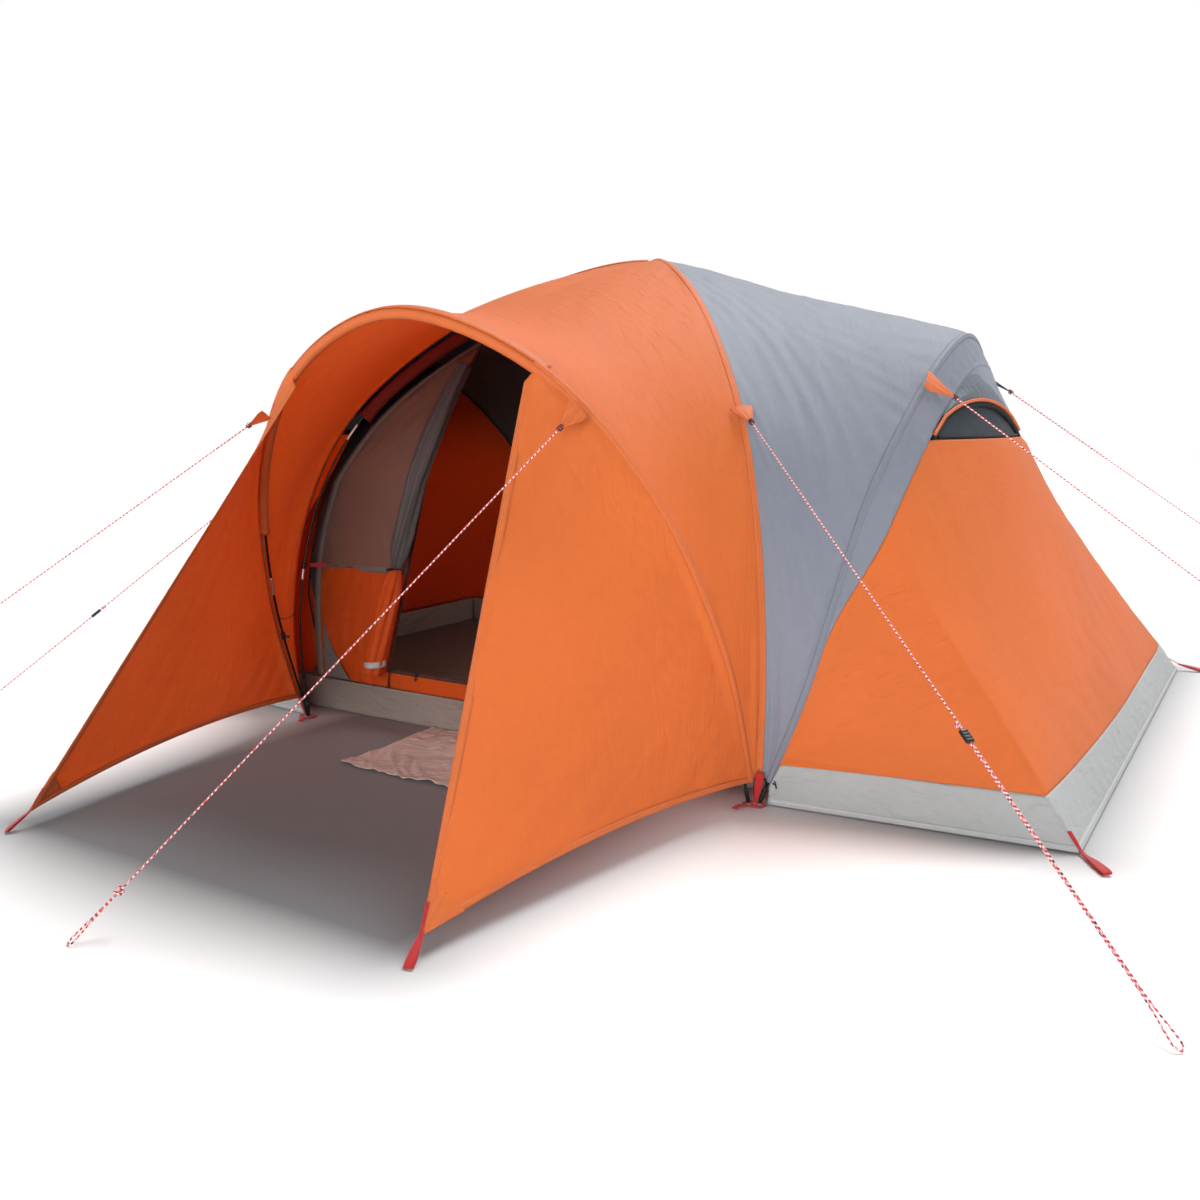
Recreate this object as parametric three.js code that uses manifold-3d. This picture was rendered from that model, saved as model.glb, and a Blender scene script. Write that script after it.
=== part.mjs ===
// A six-person dome tent with a porch, two side cabins and its guy lines pitched, in millimetres.
// x runs along the front, y from the porch to the rear, z up. Until the last lines y is measured
// from the line through the two front pole feet; the finished group is centred on its footprint.
import * as THREE from "three";
import Module from "manifold-3d";
import { mergeVertices } from "three/addons/utils/BufferGeometryUtils.js";

// Driving dimensions
const FOOT_X = 985; // half the distance between the pole feet
const REAR_Y = 2140; // the rear pole feet lie this far behind the front ones
const CROSS_Z = 1803; // height of the crossing of the two main poles
const SIDE_X = 1925; // half the pitched width at the ground
const EDGE_Y = 105; // the front edge of the cabins at the ground
const BACK_Y = 2805; // the rear edge at the ground
const WING = [770, -1355]; // where a porch wing is pegged
const PORCH_LEAN = 0.336; // forward lean of the porch arch, per height
const POLE_D = 9.5; // fibreglass pole
const CLOTH = 3; // thickness of a cloth solid
const SKIN = 22; // from a pole's middle to the fly outside it
const INNER = 75; // from a pole's middle to the inner tent under it
const SEAM = 6; // from a seam to the edge of a cloth solid
const SKIRT_Z = 145; // top of the pale skirt
const VENT_Z = 1130; // lower edge of a cabin vent
const TRAY_Z = 130; // height of the bathtub floor's sides
const TRAY_X = 1780; // half width of the bathtub floor
const TRAY_Y = [135, 2080]; // its front and rear edges
const DOOR_X = 660; // half the inner door's width at its foot
const DOOR_FOOT = 200; // height of the door's sill
const CORD_D = 4.5; // guy line
const HEM_Z = 6; // the middle of a hem that meets the ground

const ORANGE = 0xe0662a;
const GREY = 0x8f959f;
const PALE = 0xb0b3b4;
const DARK = 0x3a3633;
const RED = 0xb3161f;
const BLACK = 0x16161a;
const SILVER = 0xb9bcc0;

const tent = new THREE.Group();
const lines = new THREE.Group();
const at = (x, y, z) => new THREE.Vector3(x, y, z);
const mirror = (surface) => (u, v) => surface(u, v).multiply(at(-1, 1, 1));
const spread = (n, from = 0, to = 1) =>
  Array.from({ length: n + 1 }, (_, i) => from + ((to - from) * i) / n);

function add(name, geometry, color, roughness = 0.8, metalness = 0, group = tent) {
  const mesh = new THREE.Mesh(geometry, new THREE.MeshStandardMaterial({ color, roughness, metalness }));
  mesh.name = name;
  group.add(mesh);
  return mesh;
}

// A sheet of cloth as a thin closed body: surface(u, v) is its middle.
function slab(surface, us, vs, thickness = CLOTH) {
  const step = 1e-3;
  const position = [];
  const index = [];
  for (const u of us)
    for (const v of vs) {
      const along = surface(u + step, v).sub(surface(u - step, v));
      const across = surface(u, v + step).sub(surface(u, v - step));
      const half = along.cross(across).setLength(thickness / 2);
      const middle = surface(u, v);
      position.push(...middle.clone().add(half), ...middle.sub(half));
    }
  const top = (i, j) => 2 * (i * vs.length + j);
  const under = (i, j) => top(i, j) + 1;
  const quad = (a, b, c, d) => index.push(a, b, c, a, c, d);
  const lastU = us.length - 1;
  const lastV = vs.length - 1;
  for (let i = 0; i < lastU; i++) {
    for (let j = 0; j < lastV; j++) {
      quad(top(i, j), top(i + 1, j), top(i + 1, j + 1), top(i, j + 1));
      quad(under(i, j), under(i, j + 1), under(i + 1, j + 1), under(i + 1, j));
    }
    quad(under(i, 0), under(i + 1, 0), top(i + 1, 0), top(i, 0));
    quad(under(i + 1, lastV), under(i, lastV), top(i, lastV), top(i + 1, lastV));
  }
  for (let j = 0; j < lastV; j++) {
    quad(under(0, j + 1), under(0, j), top(0, j), top(0, j + 1));
    quad(under(lastU, j), under(lastU, j + 1), top(lastU, j + 1), top(lastU, j));
  }
  const geometry = new THREE.BufferGeometry();
  geometry.setAttribute("position", new THREE.Float32BufferAttribute(position, 3));
  geometry.setIndex(index);
  geometry.computeVertexNormals();
  return geometry;
}

// The cloth between two edges, kept clear of both.
function between(edgeA, edgeB, clear = SEAM) {
  return (u, v) => {
    const a = edgeA(u);
    const b = edgeB(u);
    const inset = Math.min(clear / a.distanceTo(b), 0.3);
    return a.lerp(b, inset + v * (1 - 2 * inset));
  };
}

// A rod of round section along a curve.
function rod(curve, diameter, sides, steps) {
  const section = new THREE.Shape();
  for (let i = 0; i < sides; i++) {
    const turn = (2 * Math.PI * (i + 0.5)) / sides;
    const [x, y] = [(Math.cos(turn) * diameter) / 2, (Math.sin(turn) * diameter) / 2];
    if (i) section.lineTo(x, y);
    else section.moveTo(x, y);
  }
  section.closePath();
  return new THREE.ExtrudeGeometry(section, { steps, extrudePath: curve });
}

// A flat outline with thickness, its x axis along one direction and its z axis near another.
function plate(points, thickness, origin, along, facing) {
  const shape = new THREE.Shape(points.map(([x, y]) => new THREE.Vector2(x, y)));
  const geometry = new THREE.ExtrudeGeometry(shape, { depth: thickness, bevelEnabled: false });
  const x = along.clone().normalize();
  const y = facing.clone().cross(x).normalize();
  const z = x.clone().cross(y);
  return geometry.applyMatrix4(new THREE.Matrix4().makeBasis(x, y, z).setPosition(origin));
}

// ---- Poles ----
// Half an arch is drawn from its foot to its top and mirrored about the top.
function arch(half, top, opposite) {
  const points = [...half, top, ...half.map(opposite).reverse()];
  return new THREE.CatmullRomCurve3(points, false, "centripetal");
}
const POLE_FOOT_Z = 10; // the poles stand over their foot plates
const span = Math.hypot(2 * FOOT_X, REAR_Y);
const mainDirection = at(2 * FOOT_X, REAR_Y, 0).divideScalar(span);
const mainRise = [[0, POLE_FOOT_Z], [-15, 435], [70, 866], [250, 1190], [585, 1479], [1002, 1695]];
function mainPole(side, lift) {
  const place = (p, z) => at(side * (mainDirection.x * p - FOOT_X), mainDirection.y * p, z + lift);
  const rise = mainRise.map(([p, z]) => place(p, z));
  const fall = mainRise.map(([p, z]) => place(span - p, z)).reverse();
  const points = [...rise, place(span / 2, CROSS_Z), ...fall];
  return new THREE.CatmullRomCurve3(points, false, "centripetal");
}
const poleLeft = mainPole(1, 0); // left front foot to right rear foot
const poleRight = mainPole(-1, POLE_D + 2); // right front foot to left rear foot, over the other
// Near the ground the three poles of a front foot stand side by side.
const PORCH_FOOT = [-14, -14];
const PORCH_Z = 1508; // height of the porch arch
const porchHalf = [[FOOT_X, POLE_FOOT_Z], [947, 530], [781, 998], [476, 1344]];
function onPorch(x, z) {
  const inward = PORCH_FOOT[0] * (1 - z / PORCH_Z);
  return at(x + Math.sign(x) * inward, PORCH_FOOT[1] - PORCH_LEAN * z, z);
}
const porchPole = arch(
  porchHalf.map(([x, z]) => onPorch(-x, z)),
  onPorch(0, PORCH_Z),
  (p) => at(-p.x, p.y, p.z),
);
const CABIN_FOOT = 16;
const cabinHalf = [[CABIN_FOOT, 0, POLE_FOOT_Z], [134, 42, 372], [236, 335, 1010]];
const cabinPole = arch(
  cabinHalf.map(([out, y, z]) => at(FOOT_X + out, y, z)),
  at(FOOT_X + 305, REAR_Y / 2, 1474),
  (p) => at(p.x, REAR_Y - p.y, p.z),
);
const cabinPoleLeft = new THREE.CatmullRomCurve3(
  cabinPole.points.map((p) => at(-p.x, p.y, p.z)),
  false,
  "centripetal",
);
const POLE_SIDES = 6;
add("pole_main_left", rod(poleLeft, POLE_D, POLE_SIDES, 36), BLACK, 0.35);
add("pole_main_right", rod(poleRight, POLE_D, POLE_SIDES, 36), BLACK, 0.35);
add("pole_porch", rod(porchPole, POLE_D, POLE_SIDES, 32), BLACK, 0.35);
add("pole_cabin_right", rod(cabinPole, POLE_D, POLE_SIDES, 32), BLACK, 0.35);
add("pole_cabin_left", rod(cabinPoleLeft, POLE_D, POLE_SIDES, 32), BLACK, 0.35);

// ---- Seams: lines at a distance from the poles, 0 to 1 along each ----
const hub = at(0, REAR_Y / 2, 350);
const porchHub = at(0, -120, 350);
const cabinHub = at(500, REAR_Y / 2, 350);
function off(curve, s, distance, centre) {
  const point = curve.getPointAt(Math.min(Math.max(s, 0), 1));
  const out = point.clone().sub(centre);
  out.z = Math.max(out.z, 0);
  return point.add(out.setLength(distance));
}
// Two halves of the main poles make an edge that turns at the crossing. It is drawn on the right
// side, from the front foot over the crossing to the rear foot.
function ridge(curve, distance) {
  return (s) => {
    const point = off(curve, s, distance, hub);
    point.x = Math.abs(point.x);
    return point;
  };
}
// At the rear the fly leaves the poles at this share of their length and runs straight to its hem.
const LEAVE = 0.8;
function leave(edge, hem) {
  return (s) => (s < LEAVE ? edge(s) : edge(LEAVE).lerp(hem, Math.min((s - LEAVE) / (1 - LEAVE), 1)));
}
const flyRidge = leave(ridge(poleRight, SKIN), at(FOOT_X, BACK_Y, HEM_Z));
const innerRidge = ridge(poleLeft, -INNER);
const reflect = (point) => point.multiply(at(-1, 1, 1));
// The front or rear halves of an edge on both sides, from left to right.
const frontHalves = (edge) => (s) => (s < 0.5 ? reflect(edge(s)) : edge(1 - s));
const rearHalves = (edge) => (s) => (s < 0.5 ? reflect(edge(1 - s)) : edge(s));
const porchSeam = (distance) => (s) => off(porchPole, s, distance, porchHub);
const cabinSeam = (distance) => (s) => off(cabinPole, s, distance, cabinHub);
const flyArch = leave(cabinSeam(SKIN), at(FOOT_X + 55, BACK_Y, HEM_Z));

// ---- Fly ----
const FOOT_S = 0.04; // cloth begins this far up each arch
const HEM_S = 0.01; // and ends this near the rear hem
const arches = (n, a = FOOT_S, b = 1 - FOOT_S) => spread(n, a, b);
const TRAIL_S = 4 * HEM_S; // pieces beside the rear corner end further from it
const FRONT_SWELL = 30; // the front cloth swells near the ridge and dips behind the porch arch
const frontCloth = between(frontHalves(flyRidge), porchSeam(SKIN));
function flyFront(u, v) {
  const swell = FRONT_SWELL * Math.sin(2 * Math.PI * v) * Math.sin(Math.PI * u);
  return frontCloth(u, v).add(at(0, 0, swell));
}
add("fly_front", slab(flyFront, arches(20), spread(6)), ORANGE);
const flySide = between(flyRidge, flyArch);
const sideS = arches(20, FOOT_S, 1 - HEM_S);
add("fly_side_right", slab(flySide, sideS, spread(5)), GREY);
add("fly_side_left", slab(mirror(flySide), sideS, spread(5)), GREY);
const rearHem = (s) => at(FOOT_X * (2 * s - 1), BACK_Y, HEM_Z);
const rearS = arches(20, TRAIL_S, 1 - TRAIL_S);
add("fly_rear", slab(between(rearHalves(flyRidge), rearHem), rearS, spread(4)), ORANGE);

// A cabin's cloth runs from its arch to a line with a corner at the front and one at the rear.
const HIP = 0.25; // the arch's share in front of the front corner's crease
function cornered(start, front, rear, end) {
  return (s) => {
    if (s < HIP) return start.clone().lerp(front, (s - FOOT_S) / (HIP - FOOT_S));
    if (s > 1 - HIP) return end.clone().lerp(rear, (1 - s) / HIP);
    return front.clone().lerp(rear, (s - HIP) / (1 - 2 * HIP));
  };
}
const sideHem = cornered(
  at(FOOT_X + 75, EDGE_Y - 30, HEM_Z),
  at(SIDE_X, EDGE_Y, HEM_Z),
  at(SIDE_X, BACK_Y, HEM_Z),
  at(FOOT_X + 90, BACK_Y, HEM_Z),
);
// The point at a height on the straight line from the arch to the hem.
function level(z, arch, hem) {
  return (s) => {
    const top = arch(s);
    const foot = hem(s);
    return top.clone().lerp(foot, Math.min(Math.max((top.z - z) / (top.z - foot.z), 0), 1));
  };
}
const skirtTop = level(SKIRT_Z, flyArch, sideHem);
const endTop = level(VENT_Z, flyArch, sideHem);
const endS = [FOOT_S, ...spread(3, 0.08, HIP), ...spread(8, HIP, 1 - HIP).slice(1), 0.8, 0.9, 1 - TRAIL_S];
const flyEnd = between(endTop, skirtTop);
const skirt = between(skirtTop, sideHem, SEAM / 2);
const VENT_S = [0.36, 0.64]; // the vent's share of the arch
const hood = between(flyArch, level(VENT_Z + 10, flyArch, sideHem));
const pushed = (surface, x) => (u, v) => surface(u, v).add(at(x, 0, 0));
const ventMesh = between(level(VENT_Z + 190, flyArch, sideHem), level(VENT_Z + 15, flyArch, sideHem));
const HOOD_OUT = 14; // the hood stands this far outside the cloth's line
for (const [side, turned] of [["right", (surface) => surface], ["left", mirror]]) {
  add(`fly_end_${side}`, slab(turned(flyEnd), endS, spread(4)), ORANGE);
  add(`skirt_${side}`, slab(turned(skirt), endS, spread(1)), PALE);
  add(`vent_hood_${side}`, slab(turned(pushed(hood, HOOD_OUT)), spread(8, ...VENT_S), spread(2)), GREY);
  add(`vent_mesh_${side}`, slab(turned(pushed(ventMesh, -12)), spread(6, 0.4, 0.6), spread(1), 2), DARK);
}

// A porch wing runs from the porch arch to a tip just over its peg. The right wing's front edge
// bows inward, away from the guy line that passes it.
const WING_TOP_S = 0.375; // where the wing's front edge leaves the arch, from the left foot
const WING_TIP = at(759, -1322, 50);
const WING_TOP = at(454, -470, 1322);
const WING_BOW = { right: at(-40, 55, 0), left: at(0, 0, 0) };
const HEM_LIFT = 45; // the wing's hem is cut as a shallow arch
const wingArch = (u) => porchSeam(SKIN)(1 - (FOOT_S + u * (WING_TOP_S - FOOT_S))).add(at(0, -9, 0));
function wing(bow) {
  const front = (u) => WING_TIP.clone().lerp(WING_TOP, u).addScaledVector(bow, 6.75 * u * u * (1 - u));
  const surface = between(wingArch, front);
  return (u, v) => surface(u, v).add(at(0, 0, HEM_LIFT * 4 * v * (1 - v) * (1 - u) ** 3));
}
const wingU = spread(10, 0.001, 0.97);
add("wing_right", slab(wing(WING_BOW.right), wingU, spread(4)), ORANGE);
add("wing_left", slab(mirror(wing(WING_BOW.left)), wingU, spread(4)), ORANGE);

// ---- Inner tent ----
// The inner tent hangs under the poles and its walls stand on the floor's sides.
function within(edge) {
  return (s) => {
    const point = edge(s);
    point.y = Math.min(Math.max(point.y, TRAY_Y[0] + 4), TRAY_Y[1] - 4);
    return point;
  };
}
const TRAY_WALL = 4;
const wasm = await Module();
wasm.setup();
function solid(geometry) {
  geometry.deleteAttribute("normal");
  geometry.deleteAttribute("uv");
  const merged = mergeVertices(geometry);
  return new wasm.Manifold(
    new wasm.Mesh({
      numProp: 3,
      vertProperties: merged.attributes.position.array,
      triVerts: new Uint32Array(merged.index.array),
    }),
  );
}
function block(low, high) {
  const size = high.clone().sub(low);
  const middle = low.clone().add(high).divideScalar(2);
  return new THREE.BoxGeometry(size.x, size.y, size.z).translate(middle.x, middle.y, middle.z);
}
const trayLow = at(-TRAY_X, TRAY_Y[0], 0);
const trayHigh = at(TRAY_X, TRAY_Y[1], TRAY_Z);
const trayInside = block(
  trayLow.clone().add(at(TRAY_WALL, TRAY_WALL, TRAY_WALL)),
  trayHigh.clone().add(at(-TRAY_WALL, -TRAY_WALL, 10)),
);
const trayMesh = solid(block(trayLow, trayHigh)).subtract(solid(trayInside)).getMesh();
const trayGeometry = new THREE.BufferGeometry();
trayGeometry.setAttribute("position", new THREE.BufferAttribute(trayMesh.vertProperties, 3));
trayGeometry.setIndex(new THREE.BufferAttribute(trayMesh.triVerts, 1));
add("inner_floor", trayGeometry, PALE);

const INNER_S = 0.06;
const WALL_FOOT = TRAY_Z + 5; // the walls start just over the floor's sides
const innerSide = between(within(innerRidge), within(cabinSeam(-INNER)));
const innerHem = cornered(
  at(FOOT_X + 10, TRAY_Y[0] + 2, WALL_FOOT),
  at(TRAY_X - 2, TRAY_Y[0] + 2, WALL_FOOT),
  at(TRAY_X - 2, TRAY_Y[1] - 2, WALL_FOOT),
  at(FOOT_X + 10, TRAY_Y[1] - 2, WALL_FOOT),
);
const innerEnd = between(within(cabinSeam(-INNER)), innerHem, 5);
const innerEndS = [INNER_S, ...spread(2, 0.1, HIP), ...spread(6, HIP, 1 - HIP).slice(1), 0.85, 1 - INNER_S];
for (const [side, turned] of [["right", (surface) => surface], ["left", mirror]]) {
  add(`inner_side_${side}`, slab(turned(innerSide), arches(14, INNER_S, 1 - INNER_S), spread(4)), DARK);
  add(`inner_end_${side}`, slab(turned(innerEnd), innerEndS, spread(3)), ORANGE);
}
const innerRearHem = (s) => at((FOOT_X - 15) * (2 * s - 1), TRAY_Y[1] - 2, WALL_FOOT);
const innerRear = between(within(rearHalves(innerRidge)), innerRearHem, 5);
add("inner_rear", slab(innerRear, arches(14, INNER_S, 1 - INNER_S), spread(3)), ORANGE);

// The front wall lies between the front halves of the main poles, with the door in its middle.
const DOOR_TOP = 1500;
const DOOR_LEAN = 0.14; // the door's sides lean in, per height
const frontEdge = within((s) => reflect(innerRidge(s)).add(at(20, -8, 0)));
function heightAlong(z) {
  let [low, high] = [0, 0.5];
  for (let i = 0; i < 30; i++) {
    const middle = (low + high) / 2;
    if (frontEdge(middle).z < z) low = middle;
    else high = middle;
  }
  return low;
}
const doorX = (z) => DOOR_LEAN * (z - DOOR_FOOT) - DOOR_X;
// The door's sides lie in a plane that leans back from the sill to the top of the door.
const sillY = TRAY_Y[0] + 4;
const leanBack = (frontEdge(heightAlong(DOOR_TOP)).y - sillY) / (DOOR_TOP - DOOR_FOOT);
function beside(s) {
  const point = frontEdge(s);
  return at(doorX(point.z), sillY + leanBack * Math.max(point.z - DOOR_FOOT, 0), point.z);
}
const wallS = spread(8, heightAlong(WALL_FOOT + 4), heightAlong(DOOR_TOP));
const wallLeft = between(frontEdge, beside, 2);
add("inner_wall_left", slab(wallLeft, wallS, spread(2)), ORANGE);
add("inner_wall_right", slab(mirror(wallLeft), wallS, spread(2)), ORANGE);
const across = (s) => reflect(frontEdge(s));
const topS = spread(4, heightAlong(DOOR_TOP) + 0.004, 0.47);
add("inner_wall_top", slab(between(frontEdge, across), topS, spread(4)), DARK);
const sill = block(
  at(doorX(DOOR_FOOT) + 14, sillY - 1.5, WALL_FOOT - 2),
  at(-doorX(DOOR_FOOT) - 14, sillY + 1.5, DOOR_FOOT),
);
add("inner_sill", sill, ORANGE);

// The door is rolled to its left side and tied.
function rollPoint(z) {
  const up = (z - DOOR_FOOT) / (DOOR_TOP - DOOR_FOOT);
  return beside(heightAlong(z)).add(at(60 * up - 20, 10 * up - 70, 0));
}
const rollHeights = [205, 500, 800, 1100, 1400];
const rollCurve = new THREE.CatmullRomCurve3(rollHeights.map(rollPoint), false, "centripetal");
const ROLL_D = 84;
add("door_roll", rod(rollCurve, ROLL_D, 10, 10), DARK);
const tie = new THREE.TorusGeometry(ROLL_D / 2 + 9, 3, 6, 16);
const tiePoint = rollPoint(620);
tie.translate(tiePoint.x, tiePoint.y, tiePoint.z);
add("door_tie", tie, BLACK);

// Zip slider on the sill's zip, with its puller hanging from it.
const ZIP = at(-520, sillY - 6, DOOR_FOOT + 9);
add("zip_slider", block(at(-7, -4, -5), at(7, 4, 5)).translate(ZIP.x, ZIP.y, ZIP.z), BLACK, 0.4, 0.4);
const pullerShape = [[-4, 0], [4, 0], [4, -26], [2, -30], [-2, -30], [-4, -26]];
const puller = plate(pullerShape, 1.6, ZIP.clone().add(at(0, -6.5, 1)), at(1, 0, 0), at(0, -1, 0));
add("zip_puller", puller, BLACK, 0.4, 0.2);

// ---- Ground pieces ----
add("door_mat", block(at(-430, -390, 0), at(430, TRAY_Y[0] - 6, 3)), 0x8d8178);
const FOOT_PLATE = [[-36, -28], [36, -28], [36, 20], [-36, 20]];
const up = at(0, 0, 1);
for (const [side, sign] of [["right", 1], ["left", -1]]) {
  for (const [place, y] of [["front", 0], ["rear", REAR_Y + 15]]) {
    const origin = at(sign * FOOT_X, y, 0.5);
    add(`foot_plate_${place}_${side}`, plate(FOOT_PLATE, 5, origin, at(1, 0, 0), up), RED);
  }
}
const LOOP_W = 13; // half width of a loop's webbing
const LOOP_GAP = 6; // from a corner of the cloth to its loop
function addLoop(name, tip, end) {
  const out = end.clone().sub(tip);
  const length = out.length() - LOOP_GAP;
  const outline = [[0, -LOOP_W], [length, -LOOP_W], [length, LOOP_W], [0, LOOP_W]];
  out.normalize();
  add(name, plate(outline, CLOTH, tip.clone().addScaledVector(out, LOOP_GAP), out, up), RED);
}
const LOOP_Z = 2; // a loop ends this far over the ground
for (const [side, sign] of [["right", 1], ["left", -1]]) {
  const turned = (point) => (sign > 0 ? point : reflect(point));
  const front = at(SIDE_X + 3, EDGE_Y - 5, HEM_Z + 5);
  const rear = at(SIDE_X + 4, BACK_Y + 4, HEM_Z + 5);
  addLoop(`corner_loop_front_${side}`, turned(front), turned(at(SIDE_X + 85, EDGE_Y - 120, LOOP_Z)));
  addLoop(`corner_loop_rear_${side}`, turned(rear), turned(at(SIDE_X + 105, BACK_Y + 15, LOOP_Z)));
  addLoop(`wing_loop_${side}`, turned(WING_TIP.clone()), turned(at(WING[0] + 6, WING[1] - 30, LOOP_Z)));
}

// ---- Guy lines ----
// Each line runs straight from the tip of a tab on the fly to its peg.
const guys = {
  porch_right: { tip: at(622, -540, 1178), peg: at(30, -1712, 4), out: at(0.94, -0.15, 0.3), tab: 60 },
  porch_left: { tip: at(-622, -540, 1178), peg: at(-2000, -1520, 4), out: at(-0.94, -0.15, 0.3), tab: 48 },
  mid_right: { tip: at(888, 122, 1192), peg: at(2256, -844, 8), out: at(0.55, -0.6, 0.58), tab: 60 },
  mid_left: { tip: at(-888, 122, 1192), peg: at(-1930, -950, 8), out: at(-0.55, -0.6, 0.58), tab: 60 },
  cabin_right: { tip: at(1385, 595, 1268), peg: at(2855, 1693, 4), out: at(0.6, -0.35, 0.72), tab: 84 },
  rear_right: { tip: at(1352, 1530, 1300), peg: at(3010, 2680, 4), out: at(0.6, 0.33, 0.73), tab: 46 },
};
const doubled = ["mid_right", "mid_left"]; // the lines that turn round their peg and hold a runner
const TIP_W = 5; // half width of a tab at its tip
const pull = ({ tip, peg }) => peg.clone().sub(tip).normalize();
function addTab(name, guy, color) {
  const foot = guy.tab * 0.6;
  const shape = [[0, -TIP_W], [0, TIP_W], [-guy.tab, foot], [-guy.tab, -foot]];
  add(`guy_tab_${name}`, plate(shape, CLOTH, guy.tip, pull(guy), guy.out), color);
}
// A line with a runner turns round its peg in a long loop and comes back through the runner. The
// loop's half outline is drawn back from the peg: distance from it, and half its width.
const STRAND = 3.2; // half the distance between the two strands
const LOOP_HALF = [[140, STRAND], [105, STRAND + 0.3], [65, 4.5], [30, 6], [6, 6]];
const RUNNER_AT = 0.61; // share of the line above the runner
const RUNNER_L = 40;
class Doubled extends THREE.Curve {
  constructor(guy) {
    super();
    const along = pull(guy);
    const side = at(0, 0, 1).cross(along).normalize();
    const from = (back, across) =>
      guy.peg.clone().addScaledVector(along, -back).addScaledVector(side, across);
    const out = LOOP_HALF.map(([back, half]) => from(back, half));
    const home = LOOP_HALF.map(([back, half]) => from(back, -half)).reverse();
    this.start = guy.tip.clone().addScaledVector(along, 1);
    this.loop = new THREE.CatmullRomCurve3([...out, from(-6, 0), ...home], false, "centripetal");
    const reach = guy.tip.distanceTo(guy.peg) * (1 - RUNNER_AT);
    this.end = from(reach + 12, -STRAND);
  }
  // A third of the steps go down the line, a third round the loop and a third back to the runner.
  getPoint(t) {
    if (t < 1 / 3) return this.start.clone().lerp(this.loop.getPointAt(0), 3 * t);
    if (t < 2 / 3) return this.loop.getPointAt(3 * t - 1);
    return this.loop.getPointAt(1).lerp(this.end, 3 * t - 2);
  }
  getUtoTmapping(u) {
    return u;
  }
}
for (const [name, guy] of Object.entries(guys)) {
  addTab(name, guy, name === "rear_right" ? BLACK : ORANGE);
  const start = guy.tip.clone().addScaledVector(pull(guy), 1);
  const turns = doubled.includes(name);
  const path = turns ? new Doubled(guy) : new THREE.LineCurve3(start, guy.peg);
  add(`guy_line_${name}`, rod(path, CORD_D, 8, turns ? 48 : 8), RED, 0.9, 0, lines);
}
// The cabin's two tabs are repeated on the left, where they hold no line.
for (const name of ["cabin", "rear"]) {
  const { tip, peg, out, tab } = guys[`${name}_right`];
  const twin = { tip: reflect(tip.clone()), peg: reflect(peg.clone()), out: reflect(out.clone()), tab };
  addTab(`${name}_left`, twin, name === "rear" ? BLACK : ORANGE);
}
// A runner is a small block with a slot that both strands pass through.
const RUNNER_SECTION = [[-12, -6], [12, -6], [12, 6], [-12, 6]];
const SLOT_R = CORD_D / 2 + 1;
function runner(guy) {
  const section = new THREE.Shape(RUNNER_SECTION.map(([x, y]) => new THREE.Vector2(x, y)));
  const slot = new THREE.Path();
  slot.absarc(STRAND, 0, SLOT_R, Math.PI / 2, -Math.PI / 2, true);
  slot.absarc(-STRAND, 0, SLOT_R, -Math.PI / 2, -1.5 * Math.PI, true);
  section.holes.push(slot);
  const z = pull(guy);
  const x = at(0, 0, 1).cross(z).normalize();
  const y = z.clone().cross(x);
  const origin = guy.tip.clone().lerp(guy.peg, RUNNER_AT);
  const shape = { depth: RUNNER_L, bevelEnabled: false, curveSegments: 6 };
  const basis = new THREE.Matrix4().makeBasis(x, y, z).setPosition(origin);
  return new THREE.ExtrudeGeometry(section, shape).applyMatrix4(basis);
}
for (const name of doubled)
  add(`guy_runner_${name}`, runner(guys[name]), BLACK, 0.5, 0, lines);

// The origin is on the ground in the middle of the pitched tent, its guy lines left out.
const footprint = new THREE.Box3().setFromObject(tent, true);
const middle = footprint.getCenter(at(0, 0, 0));
tent.add(lines);
tent.position.set(-middle.x, -middle.y, -footprint.min.z);
export default tent;
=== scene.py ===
"""The looks of a pitched six-person dome tent: its cloth, seams, poles, webbing and guy lines.

Lengths are metres. Shapes are drawn with y measured from the line through the two front pole feet,
as the design draws them, and move to the row frame when their mesh is made.
"""
import math

import bpy
import numpy as np
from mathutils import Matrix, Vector


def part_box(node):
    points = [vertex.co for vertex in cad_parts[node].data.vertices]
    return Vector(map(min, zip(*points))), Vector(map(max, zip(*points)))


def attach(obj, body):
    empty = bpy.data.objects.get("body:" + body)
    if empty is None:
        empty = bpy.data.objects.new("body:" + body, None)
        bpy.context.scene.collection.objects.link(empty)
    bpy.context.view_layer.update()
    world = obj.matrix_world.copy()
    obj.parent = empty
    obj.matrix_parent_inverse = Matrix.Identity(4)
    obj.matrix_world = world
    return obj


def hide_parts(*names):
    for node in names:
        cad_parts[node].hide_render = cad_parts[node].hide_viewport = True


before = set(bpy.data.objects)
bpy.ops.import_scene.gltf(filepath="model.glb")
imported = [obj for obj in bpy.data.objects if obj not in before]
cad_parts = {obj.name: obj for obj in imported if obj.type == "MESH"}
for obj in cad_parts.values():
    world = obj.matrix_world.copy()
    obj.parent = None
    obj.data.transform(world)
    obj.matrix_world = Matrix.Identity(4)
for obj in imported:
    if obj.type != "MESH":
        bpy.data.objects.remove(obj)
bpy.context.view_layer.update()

# ---- The design's dimensions ----
PLATE_FRONT = 0.028  # the foot plates reach this far in front of the pole feet
ROW = Vector((0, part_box("foot_plate_front_right")[0].y + PLATE_FRONT, 0))
FOOT_X = 0.985
REAR_Y = 2.14
CROSS_Z = 1.803
SIDE_X = 1.925
EDGE_Y = 0.105
BACK_Y = 2.805
PORCH_LEAN = 0.336
PORCH_Z = 1.508
POLE_D = 0.0095
SKIN = 0.022
INNER = 0.075
SKIRT_Z = 0.145
VENT_Z = 1.13
TRAY_X = 1.78
TRAY_Y = (0.135, 2.08)
TRAY_Z = 0.13
DOOR_X = 0.66
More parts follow.
